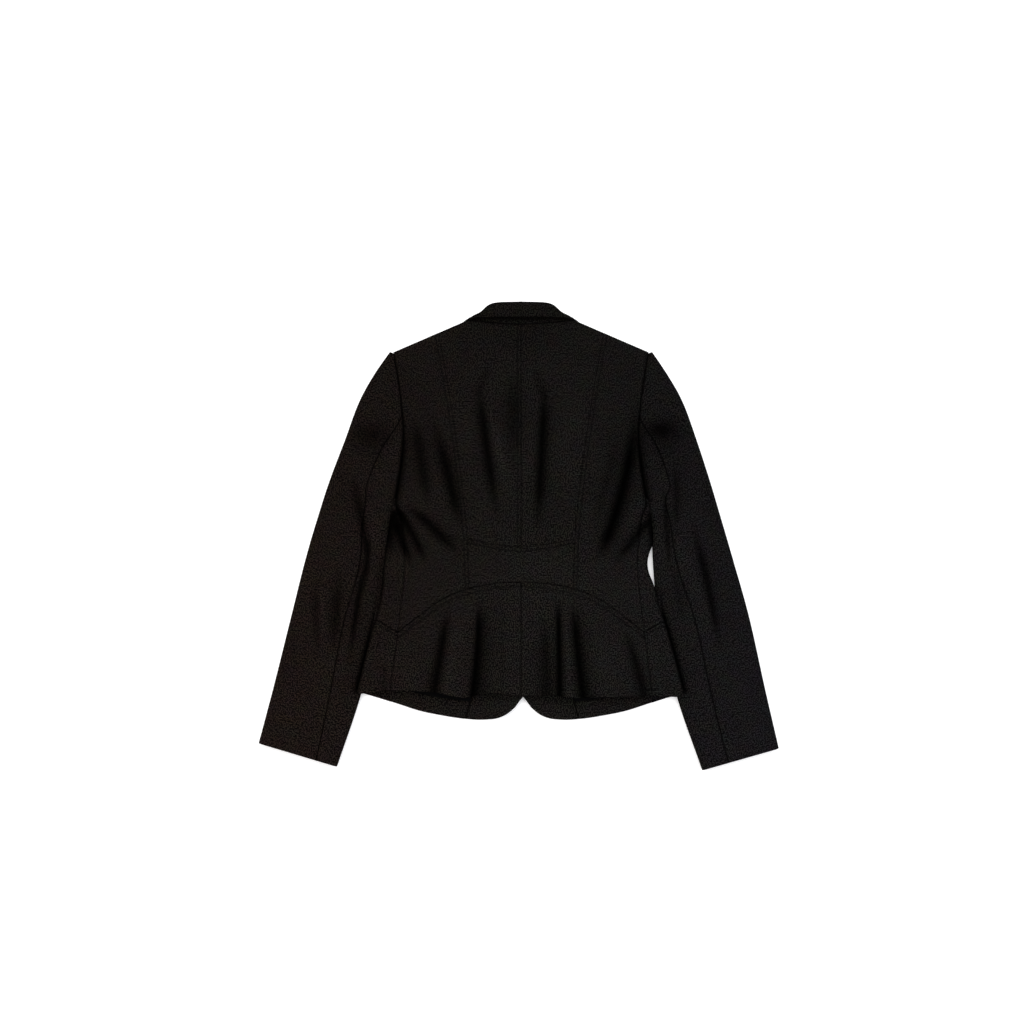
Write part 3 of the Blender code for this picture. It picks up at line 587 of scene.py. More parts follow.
# A closed wall of cloth from two faces over one grid, with its cut as the grain map
def clothPiece(node, outer, inner, grain, paintedShade, slot="tweed", keep=None):
    rows, columns = paintedShade.shape
    places = rows * columns
    mesh = bmesh.new()
    bmesh.ops.create_grid(mesh, x_segments=columns - 1, y_segments=rows - 1, size=1)
    spot = mesh.verts.layers.int.new("spot")
    for index, vert in enumerate(mesh.verts):
        vert[spot] = index
    if keep is not None:
        kept = keep.ravel().tolist()
        spare = [face for face in mesh.faces if not all(kept[vert[spot]] for vert in face.verts)]
        bmesh.ops.delete(mesh, geom=spare, context="FACES")
    extruded = bmesh.ops.extrude_face_region(mesh, geom=mesh.faces[:])["geom"]
    for vert in extruded:
        if isinstance(vert, bmesh.types.BMVert):
            vert[spot] += places
    points = np.concatenate((outer.reshape(-1, 3), inner.reshape(-1, 3)))
    points[:, 2] = np.maximum(points[:, 2], 0)
    points = toWorld(points).tolist()
    for vert in mesh.verts:
        vert.co = points[vert[spot]]
    bmesh.ops.recalc_face_normals(mesh, faces=mesh.faces[:])
    data = meshData(node + "_cloth", mesh)
    spots = np.empty(len(data.vertices), np.int32)
    data.attributes["spot"].data.foreach_get("value", spots)
    data.attributes.remove(data.attributes["spot"])
    # Each point keeps the shade painted onto the cloth there, which darkens its colour
    shade = data.attributes.new("paintedShade", "FLOAT", "POINT")
    shade.data.foreach_set("value", paintedShade.ravel()[spots % places].astype(np.float32))
    corners = np.empty(len(data.loops), np.int32)
    data.loops.foreach_get("vertex_index", corners)
    data.uv_layers.new(name="grain").uv.foreach_set(
        "vector", (grain.reshape(-1, 2)[spots % places][corners] * mm).astype(np.float32).ravel()
    )
    data.shade_smooth()
    data.set_sharp_from_angle(angle=creaseAngles["cloth"])
    piece = addPiece(data, slot)
    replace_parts(piece, node)

    # the cut, measured on the grain map
    used = np.ones((rows, columns), bool) if keep is None else keep
    whole = used[1:, 1:] & used[1:, :-1] & used[:-1, 1:] & used[:-1, :-1]
    d1, d2 = grain[1:, 1:] - grain[:-1, :-1], grain[1:, :-1] - grain[:-1, 1:]
    area = float((np.abs(d1[..., 0] * d2[..., 1] - d1[..., 1] * d2[..., 0]) / 2 * whole).sum()) * mm * mm
    width, length = np.ptp(grain[used], axis=0) * mm
    cuts.append((node, round(float(width) / mm), round(float(length) / mm), round(area * 1e4)))


stitchLines = []
panelSpacing = {"seen": 2.3, "hidden": 6.0}
# How a panel's grid finds its seams: places sampled, rounds of fitting, half a probe's step, steepest slant
panelFit = {"samples": 9, "rounds": 20, "probe": 0.5, "steepest": 1.6}


# Shade painted along the armhole gathers towards the underarm
def underarmShade(side, layer, away, y):
    near = ease(*seamLook["underarmRise"], y) * (1 - ease(*seamLook["underarmFade"], y))
    return seamLook["underarmShade"] * near * bump(away, seamLook["underarmWidth"][side][layer])


# A panel between an inner and an outer seam, a lower and an upper one, thickened straight up or down
def flatPanel(node, side, seams, height, thick, finish, slot="tweed", spacing="seen", shares=None):
    innerSeam, outerSeam, lowSeam, highSeam = seams
    sign, step = sides[side], panelSpacing[spacing]
    fromColumn, toColumn, fromRow, toRow = shares or (0, 1, 0, 1)
    kinds = {edge: finish.get(edge, ("plain",)) for edge in ("inner", "outer", "low", "high")}
    gap = gaps["seam"] / 2

    def span(y):
        start, end = innerSeam(y) + gap, outerSeam(y) - gap
        return blend(start, end, fromColumn), blend(start, end, toColumn)

    def across(y, lines):
        start, end = span(y)
        return start + lines[0] + lines[1] * (end - start) - lines[2]

    middle = (lowSeam(np.array(0.0)) + highSeam(np.array(0.0))) / 2
    lowest, highest = float(lowSeam(outerSeam(middle))), float(highSeam(innerSeam(middle)))
    start, end = span(np.linspace(lowest, highest, panelFit["samples"]))
    columns = gridLines(edgeLines(kinds["inner"]), edgeLines(kinds["outer"]), step, float(np.mean(end - start)))
    ends, slants = [], []
    for seam in (lowSeam, highSeam):
        y = seam(across(np.zeros_like(columns[1]), columns))
        for _ in range(panelFit["rounds"]):
            y = seam(across(y, columns))
        x, probe = across(y, columns), panelFit["probe"]
        ends.append(y)
        slants.append(np.minimum(np.hypot(1, seam(x + probe) - seam(x - probe)), panelFit["steepest"]))
    bottom, top = blend(ends[0] + gap, ends[1] - gap, fromRow), blend(ends[0] + gap, ends[1] - gap, toRow)
    rows = gridLines(edgeLines(kinds["low"]), edgeLines(kinds["high"]), step, float(np.mean(top - bottom)))
    fromStart, share, fromEnd = (line[:, None] for line in rows)
    y = bottom + fromStart * slants[0] + share * (top - bottom) - fromEnd * slants[1]
    x = across(y, columns)
    start, end = span(y)
    away = {
        "inner": x - start, "outer": end - x, "low": (y - bottom) / slants[0], "high": (top - y) / slants[1],
    }
    # The painted shade of the folds, then shade painted along each seam and edge and, at the armhole, towards the
    # underarm
    z, paintedShade = height(sign * x, y)
    dips, wall, dark = np.zeros_like(z), np.ones_like(z), 1 - paintedShade
    for edge, kind in kinds.items():
        dip, pressed, thin = edgeFinish(kind, away[edge])
        if kind[0] == "armhole":
            lower, ramp = edgeFinish(("fine",), away[edge]), body["armholeRamp"]
            above = ease(body["underarm"] - ramp, body["underarm"] + ramp, y)
            dip, pressed = blend(lower[0], dip, above), blend(lower[1], pressed, above)
            dark *= 1 - underarmShade(side, 0, away[edge], y)
        dips += dip
        dark *= 1 - np.clip(pressed, 0, 1)
        wall = np.minimum(wall, thin)
    upward = -np.sign(thick)
    half = thick / 2
    outer = np.stack((sign * x, y, z + half - half * wall + upward * dips), -1)
    inner = np.stack((sign * x, y, z + half + half * wall), -1)
    grain = np.stack((sign * (x[:, :1] + runLength(outer, 1)), y[:1] + runLength(outer, 0)), -1)
    for edge, kind in kinds.items():
        if len(kind) > 1:
            line = edgeLines(kind).index(kind[1])
            index = line if edge in ("inner", "low") else -1 - line
            stitchLines.append(outer[:, index] if edge in ("inner", "outer") else outer[index])
    clothPiece(node, outer, inner, grain, 1 - dark, slot)


panelFinish = {
    "back_centre_left": {"inner": ("fine", 5.2), "outer": ("fine",), "low": ("fine",), "high": ("seam",)},
    "back_centre_right": {"inner": ("fine",), "outer": ("fine",), "low": ("fine",), "high": ("seam",)},
    "back_side": {"inner": ("fine", 5.6), "outer": ("armhole",), "low": ("deep",), "high": ("plain",)},
    "waist_band": {"inner": ("fine",), "outer": ("fine",), "low": ("deep",), "high": ("fine", 6.0)},
    "peplum_back": {"inner": ("deep",), "outer": ("seam",), "low": ("edge",), "high": ("deep", 7.5)},
    "front": {"inner": ("edge",), "low": ("edge",)},
    "facing": {"inner": ("edge",), "low": ("edge",), "outer": ("seam",)},
    "hem": {"low": ("edge",), "high": ("edge",), "inner": ("seam",)},
    "lining": {},
    "lapel": {"inner": ("edge",), "outer": ("edge",), "low": ("edge",), "high": ("edge",)},
}


def centreBack(y):
    return np.zeros_like(y)


for side, sign in sides.items():
    flatPanel(
        "back_centre_" + side, side, (centreBack, princess, smile, backTop), backHeight, -walls["tweed"],
        panelFinish["back_centre_" + side],
    )
    flatPanel(
        "back_side_" + side, side, (princess, bodySide, lambda x: arch(x) + body["archInset"], shoulder),
        backHeight, -walls["tweed"], panelFinish["back_side"],
    )
    flatPanel(
        "peplum_back_" + side, side, (centreBack, sideBack, lambda x, sign=sign: backHem(sign * x), arch),
        backHeight, -walls["tweed"], panelFinish["peplum_back"],
    )
flatPanel(
    "waist_band", "right", (lambda y: -princess(y), princess, arch, smile), backHeight, -walls["tweed"],
    panelFinish["waist_band"],
)
print("back panels sewn")

for side, sign in sides.items():
    def fromAxis(half, y, sign=sign):
        return half + sign * front["axis"] * (1 - ease(front["breakY"], neckY, y))

    def layer(lift, side=side):
        return lambda x, y: (frontHeight(side, x, y) + lift, np.zeros_like(y))

    frontSeams = (
        lambda y: fromAxis(frontEdge(y), y),
        lambda y: bodySide(y) - front["inset"],
        lambda half, sign=sign: frontHem(half - sign * front["axis"]),
        shoulder,
    )
    onFront = walls["tweed"] + gaps["layer"]
    share, apart = front["facingShare"], front["apart"]
    flatPanel(
        "front_" + side, side, frontSeams, layer(0.0), walls["tweed"], panelFinish["front"],
        spacing="hidden",
    )
    strips = {
        "facing": (0, share, 0, front["facingTop"]),
        "hem": (share + apart, 1, 0, front["turnUp"]),
        "lining": (share + apart, 1, front["turnUp"] + apart, front["liningTop"]),
    }
    for strip, shares in strips.items():
        flatPanel(
            strip + "_" + side, side, frontSeams, layer(onFront + walls["inner"]), -walls["inner"],
            panelFinish[strip], "lining" if strip == "lining" else "tweed", shares=shares,
        )
    lapelSeams = (
        frontSeams[0],
        lambda y: fromAxis(lapelEdge(y), y),
        lambda half: np.full_like(half, lapel["low"]),
        lambda half: lapel["gorge"][1] + lapel["gorgeSlope"] * (half - lapel["gorge"][0]),
    )
    flatPanel(
        "lapel_" + side, side, lapelSeams, lambda x, y: (np.zeros_like(y), np.zeros_like(y)), walls["lapel"],
        panelFinish["lapel"], spacing="hidden",
    )
print("fronts, facings, hems, linings and lapels sewn")


# A wall that lies on the upper layer, turns round a fold and lies on the lower one; t runs 0 to 1, 2 and 3
def foldedWall(t, top, tip, low, thick):
    start, end = top(np.ones((1, 1))), low(np.ones((1, 1)))
    reach = tip[..., :2] - start[..., :2]
    length = np.linalg.norm(reach, axis=-1, keepdims=True)
    turn = np.pi * (1.5 - np.clip(t, 1, 2))[None, :, None]
    middle, half = (start[..., 2:] + end[..., 2:]) / 2, (start[..., 2:] - end[..., 2:]) / 2
    bent = np.concatenate((start[..., :2] + reach * np.cos(turn), middle + half * np.sin(turn)), -1)
    along = t[None, :, None]
    lower = np.where(along >= 2, low(np.clip(3 - t, 0, 1)[None]), bent)
    outer = np.where(along <= 1, top(np.clip(t, 0, 1)[None]), lower)
    back = reach / np.maximum(length, 0.01) * np.minimum(thick, 0.6 * length) * np.cos(turn)
    inner = outer - np.concatenate((back, thick * np.sin(turn) + np.zeros_like(length)), -1)
    return outer, inner


# Thins both faces of a wall towards its middle by a share at each point
def thinned(outer, inner, wall):
    middle, half = (outer + inner) / 2, (outer - inner) / 2 * wall[..., None]
    return middle + half, middle - half


# Columns round a folded piece: close together at its seam, then even on top, round the fold and underneath
def foldedColumns(seam, top, fold, low, last=1.0, close=()):
    flat = np.concatenate((seam, np.linspace(seam[-1], last, top)[1:], close))
    return np.concatenate((flat, np.linspace(1, 2, fold)[1:], np.linspace(2, 3, low)[1:]))


sidePiece = {
    "seam": (0, 0.012, 0.026, 0.045, 0.07, 0.11), "top": 26, "fold": 14, "low": 14, "stitch": 5.0, "stitchTo": 1.4,
    "raise": 6.6, "raiseRamp": (-18, -4), "raiseY": (-55, -15), "topRaise": 0.5,
    # Painted shade where the side turns under, and in the deep underarm beside the sleeve
    "turnShade": 0.92, "turnRamp": (1.05, 1.5), "turnLit": (1.6, 1.9),
    "innerFade": (0.9, 1.2), "edgeFade": (1.1, 1.5),
    "deepShade": 0.94, "deepWidth": {"left": 12.0, "right": 7.0}, "deepRise": (-48, 0), "deepFade": (26, 46),
}
# y and half width of each sleeve's inner edge, which the side lies over below the waist
sleeveSide = {
    "left": curve(((-347, 276), (-242, 241), (-135, 216), (-45, 203.5), (20, 197), (51, 191))),
    "right": curve(((-350, 272), (-244, 234.5), (-132, 208), (-45, 198.2), (20, 196), (51, 191))),
}


def sideRaise(side, x, y):
    inside = sides[side] * x - sleeveSide[side](y)
    return sidePiece["raise"] * ease(*sidePiece["raiseRamp"], inside) * (1 - ease(*sidePiece["raiseY"], y))


# A body piece that turns round the side from the back to the front
def sideWall(node, side, lowSeam, highSeam, lowKind, highKind):
    sign, edge = sides[side], sideEdge[side]
    t = foldedColumns(*(sidePiece[part] for part in ("seam", "top", "fold", "low")))
    share = np.minimum(t, 1)[None]
    bottom, top = lowSeam(share, t) + gaps["seam"] / 2, highSeam(share) - gaps["seam"] / 2
    lines = gridLines(edgeLines(lowKind), edgeLines(highKind), panelSpacing["seen"], float(np.mean(top - bottom)))
    fromStart, part, fromEnd = (line[:, None] for line in lines)
    y = bottom + fromStart + part * (top - bottom) - fromEnd
    depth = blend(body["underarmRoll"], body["sideRoll"], ease(body["underarm"], 0, y))

    def stretch(height):
        def at(s):
            s = np.broadcast_to(s, y.shape)
            x = sign * blend(sideBack(y) + gaps["seam"] / 2, edge(y) - depth, s)
            return np.stack((x, y, height(x, y)), -1)

        return at

    topFace = stretch(lambda x, y: backHeight(x, y)[0] + sidePiece["topRaise"] * sideRaise(side, x, y))
    lowFace = stretch(lambda x, y: frontHeight(side, x, y) + sideRaise(side, x, y))
    tip = np.stack((sign * edge(y), y, np.zeros_like(y)), -1)
    outer, inner = foldedWall(t, topFace, tip, lowFace, walls["tweed"])
    flatX = outer[..., 0]
    # Painted shade: the back's folds, the deep underarm beside the sleeve, the side where it turns under, and the
    # seams and edges
    dark = 1 - backHeight(flatX, y)[1] * (t <= 1)
    dips, wall = np.zeros_like(y), np.ones_like(y)
    away = {"low": y - bottom, "high": top - y, "inner": np.abs(flatX) - sideBack(y)}
    beside = np.maximum(sleeveSide[side](y) - np.abs(flatX), 0)
    deep = ease(*sidePiece["deepRise"], y) * (1 - ease(*sidePiece["deepFade"], y))
    dark *= 1 - sidePiece["deepShade"] * deep * bump(beside, sidePiece["deepWidth"][side])
    dark *= 1 - sidePiece["turnShade"] * ease(*sidePiece["turnRamp"], t) * (1 - ease(*sidePiece["turnLit"], t))
    for edgeName, kind in (("low", lowKind), ("high", highKind), ("inner", ("fine",))):
        dip, pressed, thin = edgeFinish(kind, away[edgeName])
        upper = 1 - ease(*sidePiece["innerFade" if edgeName == "inner" else "edgeFade"], t)
        dips += dip * upper
        dark *= 1 - np.clip(pressed * upper, 0, 1)
        wall = np.minimum(wall, thin)
    outer, inner = thinned(outer, inner, wall)
    normal = outer - inner
    outer = outer + normal / np.linalg.norm(normal, axis=-1, keepdims=True) * dips[..., None]
    if len(highKind) > 1:
        seen = t <= sidePiece["stitchTo"]
        stitchLines.append(outer[-1 - edgeLines(highKind).index(highKind[1])][seen])
    grain = np.stack((sign * (sideBack(y) + runLength(outer, 1)), y), -1)
    clothPiece(node, outer, inner, grain, 1 - dark)


for side, sign in sides.items():
    run = sideEdge[side](body["sideSeamAt"]) - body["sideRoll"] - sideBack(body["sideSeam"])

    def shortSeam(share, t=None, run=run):
        return body["sideSeam"] + body["sideSeamRise"] * run * share

    def sideHem(share, t, side=side, sign=sign):
        ends = sideBack(body["hem"]), sideEdge[side](body["hem"])
        onFront = blend(*ends, np.minimum(1, 3 - t))
        return blend(backHem(sign * blend(*ends, share)), frontHem(onFront - sign * front["axis"]), ease(1, 2, t))

    sideWall(
        "side_panel_" + side, side, shortSeam, lambda share: np.full_like(share, body["sidePanelTop"]),
        ("seam",), ("armhole",),
    )
    sideWall("peplum_side_" + side, side, sideHem, shortSeam, ("edge",), ("seam", sidePiece["stitch"]))
print("side panels sewn")

# station: outer x, outer y, inner x, inner y, back seam's share of the width, height
sleeve = {
    "columns": ("outerX", "outerY", "innerX", "innerY", "seam", "height"),
    "left": (
        (-196.6, 274.4, -191, 272, 0.0, 13), (-222, 238, -184, 232, 0.0, 20), (-244, 197, -179, 184, 0.0, 21),
        (-264, 143, -178, 130, 0.337, 19), (-285, 88, -184, 75, 0.45, 17), (-301, 40, -194, 51, 0.4, 15),
        (-323, -34, -203.5, -45, 0.32, 14), (-346, -126, -216, -135, 0.384, 15), (-371, -226, -241, -242, 0.347, 14),
        (-394, -312.8, -276.3, -348, 0.267, 12),
    ),
    "right": (
        (196.6, 274.4, 191, 272, 0.0, 13), (222.6, 236, 184, 232, 0.0, 20), (243.8, 197, 178, 180, 0.0, 21),
        (262.8, 145, 176, 134, 0.287, 19), (282.8, 84, 184, 75, 0.39, 17), (297.8, 34, 195, 51, 0.26, 15),
        (318.8, -38, 198.2, -45, 0.295, 14), (342.8, -124, 208, -132, 0.393, 15),
        (366.8, -232, 234.5, -244, 0.386, 14), (387.3, -320.5, 272.2, -353.5, 0.339, 12),
    ),
    "underarm": 5, "notch": 2, "cuff": 9, "roll": 7.5, "capBlend": 26.0, "frontSeam": 0.15, "openFrom": 2.15,
    "seamRun": 0.6, "foldRun": 1, "armholeRun": 0.3, "farOff": 400.0, "seamClear": 0.012, "foldMost": 0.45,
    "pressed": 7.8, "pressedRamp": (1, 28), "pressedFrom": (5.4, 5.95), "pressedTo": (8.1, 8.9),
    # The painted shadow that the body's side casts on the sleeve, and painted shade along the sleeve's rolled inner
    # edge
    "paintedBodyShadow": 1.0, "paintedShadowWidth": 6.0, "coveredFrom": (5.8, 6.3), "coveredTo": (7.9, 8.0),
    "rollShade": 0.78, "rollWidth": 4.5, "rollFrom": (4.6, 5.2), "rollTo": (7.9, 8.05),
    "seamLine": ("seam",), "seamFrom": (1.9, 2.15), "samples": 2000, "rowsAlong": 0.6,
    "topColumns": (40, 17, 16), "underColumns": (18, 13, 6), "underSeam": 1.6, "underFlat": 0.93,
    "underClose": (0.955, 0.975, 0.988, 1),
}


# The flattened tube of one sleeve, by station and by share of its width from the inner edge
class Sleeve:
    def __init__(self, side):
        self.side = side
        self.curves = {
            name: curve(list(enumerate(column))) for name, column in zip(sleeve["columns"], zip(*sleeve[side]))
        }

    def get(self, name, n):
        return self.curves[name](n)

    def pastUnderarm(self, n, run):
        return ease(sleeve["underarm"], sleeve["underarm"] + run, n)

    def edges(self, n):
        innerY = self.get("innerY", n)
        onArmhole = sides[self.side] * (armhole(innerY) + gaps["armhole"])
        innerX = blend(onArmhole, self.get("innerX", n), self.pastUnderarm(n, sleeve["seamRun"]))
        return np.stack((innerX, innerY), -1), np.stack((self.get("outerX", n), self.get("outerY", n)), -1)

    def width(self, n):
        inner, outer = self.edges(n)
        return np.linalg.norm(outer - inner, axis=-1)

    def plan(self, n, share):
        inner, outer = self.edges(n)
        return blend(inner, outer, share[..., None])

    def rest(self, n):
        return body["shoulderFront"] * (1 - ease(0, 1, n))

    def beyondBody(self, x, y):
        return sides[self.side] * x - sideEdge[self.side](y)

    def pressed(self, n, x, y):
        along = ease(*sleeve["pressedFrom"], n) * (1 - ease(*sleeve["pressedTo"], n))
        return along * (1 - ease(*sleeve["pressedRamp"], self.beyondBody(x, y)))

    def lower(self, n, share):
        n = np.broadcast_to(n, share.shape)
        return np.concatenate((self.plan(n, share), self.rest(n)[..., None]), -1)

    def upper(self, n, share):
        n = np.broadcast_to(n, share.shape)
        place = self.plan(n, share)
        relief = foldRelief(self.side, place[..., 0], place[..., 1])[0] + waver(place[..., 0], place[..., 1])
        high = self.rest(n) + self.get("height", n) + relief
        high = blend(high, sleeve["pressed"], self.pressed(n, place[..., 0], place[..., 1]))
        joined = 1 - self.pastUnderarm(n, sleeve["foldRun"])
        near = 1 - ease(0, sleeve["capBlend"], share * self.width(n))
        seam = self.plan(n, np.zeros_like(share))
        high = blend(high, backHeight(seam[..., 0], seam[..., 1])[0], near * joined)
        return np.concatenate((place, high[..., None]), -1)

    def seam(self, n):
        return np.where(n > sleeve["notch"], np.maximum(0, self.get("seam", n)), 0)

    def innerFold(self, n):
        depth = blend(body["underarmRoll"], sleeve["roll"], self.pastUnderarm(n, sleeve["foldRun"]))
        return np.where(n >= sleeve["underarm"], depth / self.width(n), 0)

    def frontSeam(self, n):
        share = sleeve["frontSeam"] * self.pastUnderarm(n, sleeve["seamRun"])
        return np.where(n < sleeve["underarm"], 0, np.maximum(share, self.innerFold(n) + sleeve["seamClear"]))

    # from the back seam round a fold to the front seam
    def piece(self, node, n, t, fold, toward, keep=None):
        n = n[:, None]
        gap = toward * gaps["seam"] / 2 / self.width(n)
        tip = self.plan(n, np.full_like(n, float(toward > 0)))
        outer, inner = foldedWall(
            t,
            lambda s: self.upper(n, blend(self.seam(n) + gap, fold(n), s)),
            np.concatenate((tip, np.zeros_like(tip[..., :1])), -1),
            lambda s: self.lower(n, blend(self.frontSeam(n) + gap, fold(n), s)),
            walls["tweed"],
        )
        x, y = outer[..., 0], outer[..., 1]
        share = blend(self.seam(n) + gap, fold(n), np.clip(t, 0, 1)[None])
        upper = (t <= 1) * np.ones_like(share)
        fromSeam = np.abs(share - self.seam(n)) * self.width(n)
        fromArmhole = share * self.width(n) + sleeve["farOff"] * self.pastUnderarm(n, sleeve["armholeRun"])
        # Painted shade of the folds and the rolled inner edge, a painted shadow where the body's side lies over the
        # sleeve, and painted shade along the armhole and the back seam
        dark = 1 - foldRelief(self.side, x, y)[1] * upper
        if toward < 0:
            below = ease(*sleeve["rollFrom"], n) * (1 - ease(*sleeve["rollTo"], n))
            dark = dark * (1 - sleeve["rollShade"] * below * bump(share * self.width(n), sleeve["rollWidth"]))
            covered = ease(*sleeve["coveredFrom"], n) * (1 - ease(*sleeve["coveredTo"], n))
            shadow = bump(np.maximum(self.beyondBody(x, y), 0), sleeve["paintedShadowWidth"])
            dark = dark * (1 - sleeve["paintedBodyShadow"] * covered * shadow * upper)
        dark = dark * (1 - underarmShade(self.side, 1, fromArmhole, y) * upper)
        dips, wall = np.zeros_like(x), np.ones_like(x)
        cuffRun = np.linalg.norm(outer - outer[-1:], axis=-1)
        onBackSeam = ease(*sleeve["seamFrom"], n)
        for kind, away, weight in (
            (sleeve["seamLine"], fromSeam, upper * onBackSeam), (("armhole",), fromArmhole, upper),
            (("edge",), cuffRun, np.ones_like(x)),
        ):
            dip, pressed, thin = edgeFinish(kind, away)
            dips += dip * weight
            dark *= 1 - np.clip(pressed * weight, 0, 1)
            wall = np.minimum(wall, thin)
        outer, inner = thinned(outer, inner, wall)
        outer[..., 2] += dips
        middle = self.plan(n, np.full_like(n, 0.5))
        along = runLength(middle, 0)
        across = toward * runLength(outer, 1) + (self.seam(n) - 0.5) * self.width(n)
        grain = np.stack((sides[self.side] * across, -np.broadcast_to(along, x.shape)), -1)
        clothPiece(node, outer, inner, grain, 1 - dark, keep=keep)


# stations of the grid's rows, an even distance apart, closer at the cuff
def sleeveRows(sleeveTube, start):
    fine = np.linspace(start, sleeve["cuff"], sleeve["samples"])
    run = runLength(sleeveTube.plan(fine, np.full_like(fine, sleeve["rowsAlong"])), 0)
    spaced = np.linspace(0, run[-1] - nearLines["edge"][-1], round(run[-1] / panelSpacing["seen"]))
    ends = run[-1] - np.array(nearLines["edge"][-2::-1])
    return np.interp(np.concatenate((spaced, ends)), run, fine)


seamColumns = np.array((0, 0.008, 0.017, 0.029, 0.045, 0.07))
for side in sides:
    tube = Sleeve(side)
    tube.piece(
        "top_sleeve_" + side, sleeveRows(tube, 0.0), foldedColumns(seamColumns, *sleeve["topColumns"]),
        lambda n, tube=tube: 1 - np.minimum(sleeve["roll"] / tube.width(n), sleeve["foldMost"]), 1,
    )
    turns = foldedColumns(
        seamColumns * sleeve["underSeam"], *sleeve["underColumns"], sleeve["underFlat"], sleeve["underClose"]
    )
    rows = sleeveRows(tube, sleeve["openFrom"])
    rows = np.insert(rows, np.searchsorted(rows, sleeve["underarm"]), sleeve["underarm"])
    closed = (rows[:, None] >= sleeve["underarm"]) | (turns[None] <= 1)
    tube.piece("under_sleeve_" + side, rows, turns, tube.innerFold, -1, closed)
print("sleeves sewn")

# row: fold, edge and neck line, from the centre back round the neck point to the gorge
collar = {
    "fold": (
        (0, 347.4, 41), (42, 345.2, 39.5), (61, 332.6, 33), (73, 327.2, 22), (77.5, 325, 10), (76, 315, 0.9),
        (66, 280, 0.6),
    ),
    "edge": (
        (0, 326, 33.5), (47, 325.6, 33), (68, 324.6, 28), (80, 322.8, 18.5), (87, 319.6, 9), (97, 307, 0.8),
        (99, 270, 0.5),
    ),
    "neck": (
        (0, 316.7, 20.6), (43, 319.3, 20), (66, 321.8, 19), (80, 322, 16), (80, 321, 12), (70, 318, 4), (60, 284, 4),
    ),
    "rowsPerSpan": (22, 14, 8, 8, 9, 16), "standEnd": 3, "standFrom": 0.24, "rolledTo": 0.225, "fallLift": 1.5,
    "standShade": 0.62, "standLit": (0.66, 0.9), "fallBulge": 0.7, "turn": 2.4, "tip": 0.9,
    "wrapEnd": 3.2, "wrapFade": 2.3, "near": (0, 0.006, 0.02, 0.04, 0.07, 0.12), "columns": (14, 13, 7),
    "probe": 0.05, "liftFrom": 0.3, "tuck": 0.1, "turnLift": 0.4, "thinnest": 0.15, "sewnIn": 0.6, "sewnUnder": 1.0,
}
collarCurves = {
    line: [curve(list(enumerate(axis))) for axis in zip(*collar[line])] for line in ("fold", "edge", "neck")
}


def collarLine(line, place):
    x, y, z = (along(np.abs(place)) for along in collarCurves[line])
    return np.stack((np.sign(place) * x, y, z), -1)


def unit(vector):
    return vector / np.linalg.norm(vector, axis=-1, keepdims=True)


def collarPlaces(last):
    half = np.concatenate([i + np.arange(n) / n for i, n in enumerate(collar["rowsPerSpan"][:last])] + [[last]])
    return np.concatenate((-half[:0:-1], half))[:, None]


def collarFall():
    places = collarPlaces(len(collar["fold"]) - 1)
    fold, edge, neck = (collarLine(line, places) for line in ("fold", "edge", "neck"))
    along = collarLine("fold", places + collar["probe"]) - collarLine("fold", places - collar["probe"])
    fallIn, standIn = unit(np.cross(along, edge - fold)), unit(np.cross(along, neck - fold))
    wrap = 1 - ease(collar["wrapFade"], collar["wrapEnd"], np.abs(places))[..., None]
    fallLength = np.linalg.norm(edge - fold, axis=-1, keepdims=True)
    neckLength = np.linalg.norm(neck - fold, axis=-1, keepdims=True)
    thick = walls["collar"]
    t = foldedColumns(collar["near"], *collar["columns"])

    def top(s):
        s = np.broadcast_to(s, (1, s.shape[-1]))[..., None]
        lift = collar["fallLift"] * ease(collar["liftFrom"], 1, s) + collar["fallBulge"] * np.sin(np.pi * s)
        return blend(edge, fold, s * (1 - collar["turn"] / fallLength)) - fallIn * lift * wrap

    def low(s):
        s = np.broadcast_to(s, (1, s.shape[-1]))[..., None]
        share = blend(collar["rolledTo"], np.minimum(collar["turn"] / neckLength, collar["tuck"]), s) * wrap
        return fold + (neck - fold) * share + (standIn * wrap + fallIn * (1 - wrap)) * thick

    start, end = top(np.ones((1, 1))), low(np.ones((1, 1)))
    middle = (start + end) / 2
    outward = unit(-unit(edge - fold) - unit(neck - fold) * wrap)
    raised = fallIn * collar["fallLift"] * collar["turnLift"]
    reach = fold + outward * collar["tip"] * wrap - middle - raised * wrap
    turn = np.pi * (np.clip(t, 1, 2) - 1)[None, :, None]
    bent = middle + (start - middle) * np.cos(turn) + reach * np.sin(turn)
    step = t[None, :, None]
    lower = low(np.clip(3 - t, 0, 1)[None])
    outer = np.where(step <= 1, top(np.clip(t, 0, 1)[None]), np.where(step >= 2, lower, bent))
    thin = blend(collar["thinnest"], thick, wrap)
    bentIn = middle + (start + fallIn * thick - middle) * np.cos(turn) + (reach - unit(reach) * thin) * np.sin(turn)
    lowIn = lower - standIn * thin
    mixed = blend(bentIn, lowIn, ease(1.5, 2, t)[None, :, None])
    inner = np.where(step <= 1, outer + fallIn * thick, np.where(step >= 2, lowIn, mixed))
    run = runLength(outer, 1)
    alongRun = runLength(edge, 0)
    wall = edgeFinish(("edge",), run)[2]
    ends = np.minimum(alongRun, alongRun[-1] - alongRun)
    wall = np.minimum(wall, edgeFinish(("edge",), np.broadcast_to(ends, run.shape))[2])
    outer, inner = thinned(outer, inner, wall)
    grain = np.stack((np.broadcast_to(alongRun - alongRun[-1] / 2, run.shape), run), -1)
    keep = (np.abs(places) < collar["wrapEnd"]) | (t[None] <= 2)
    clothPiece("collar_fall", outer, inner, grain, np.zeros_like(run), keep=keep)


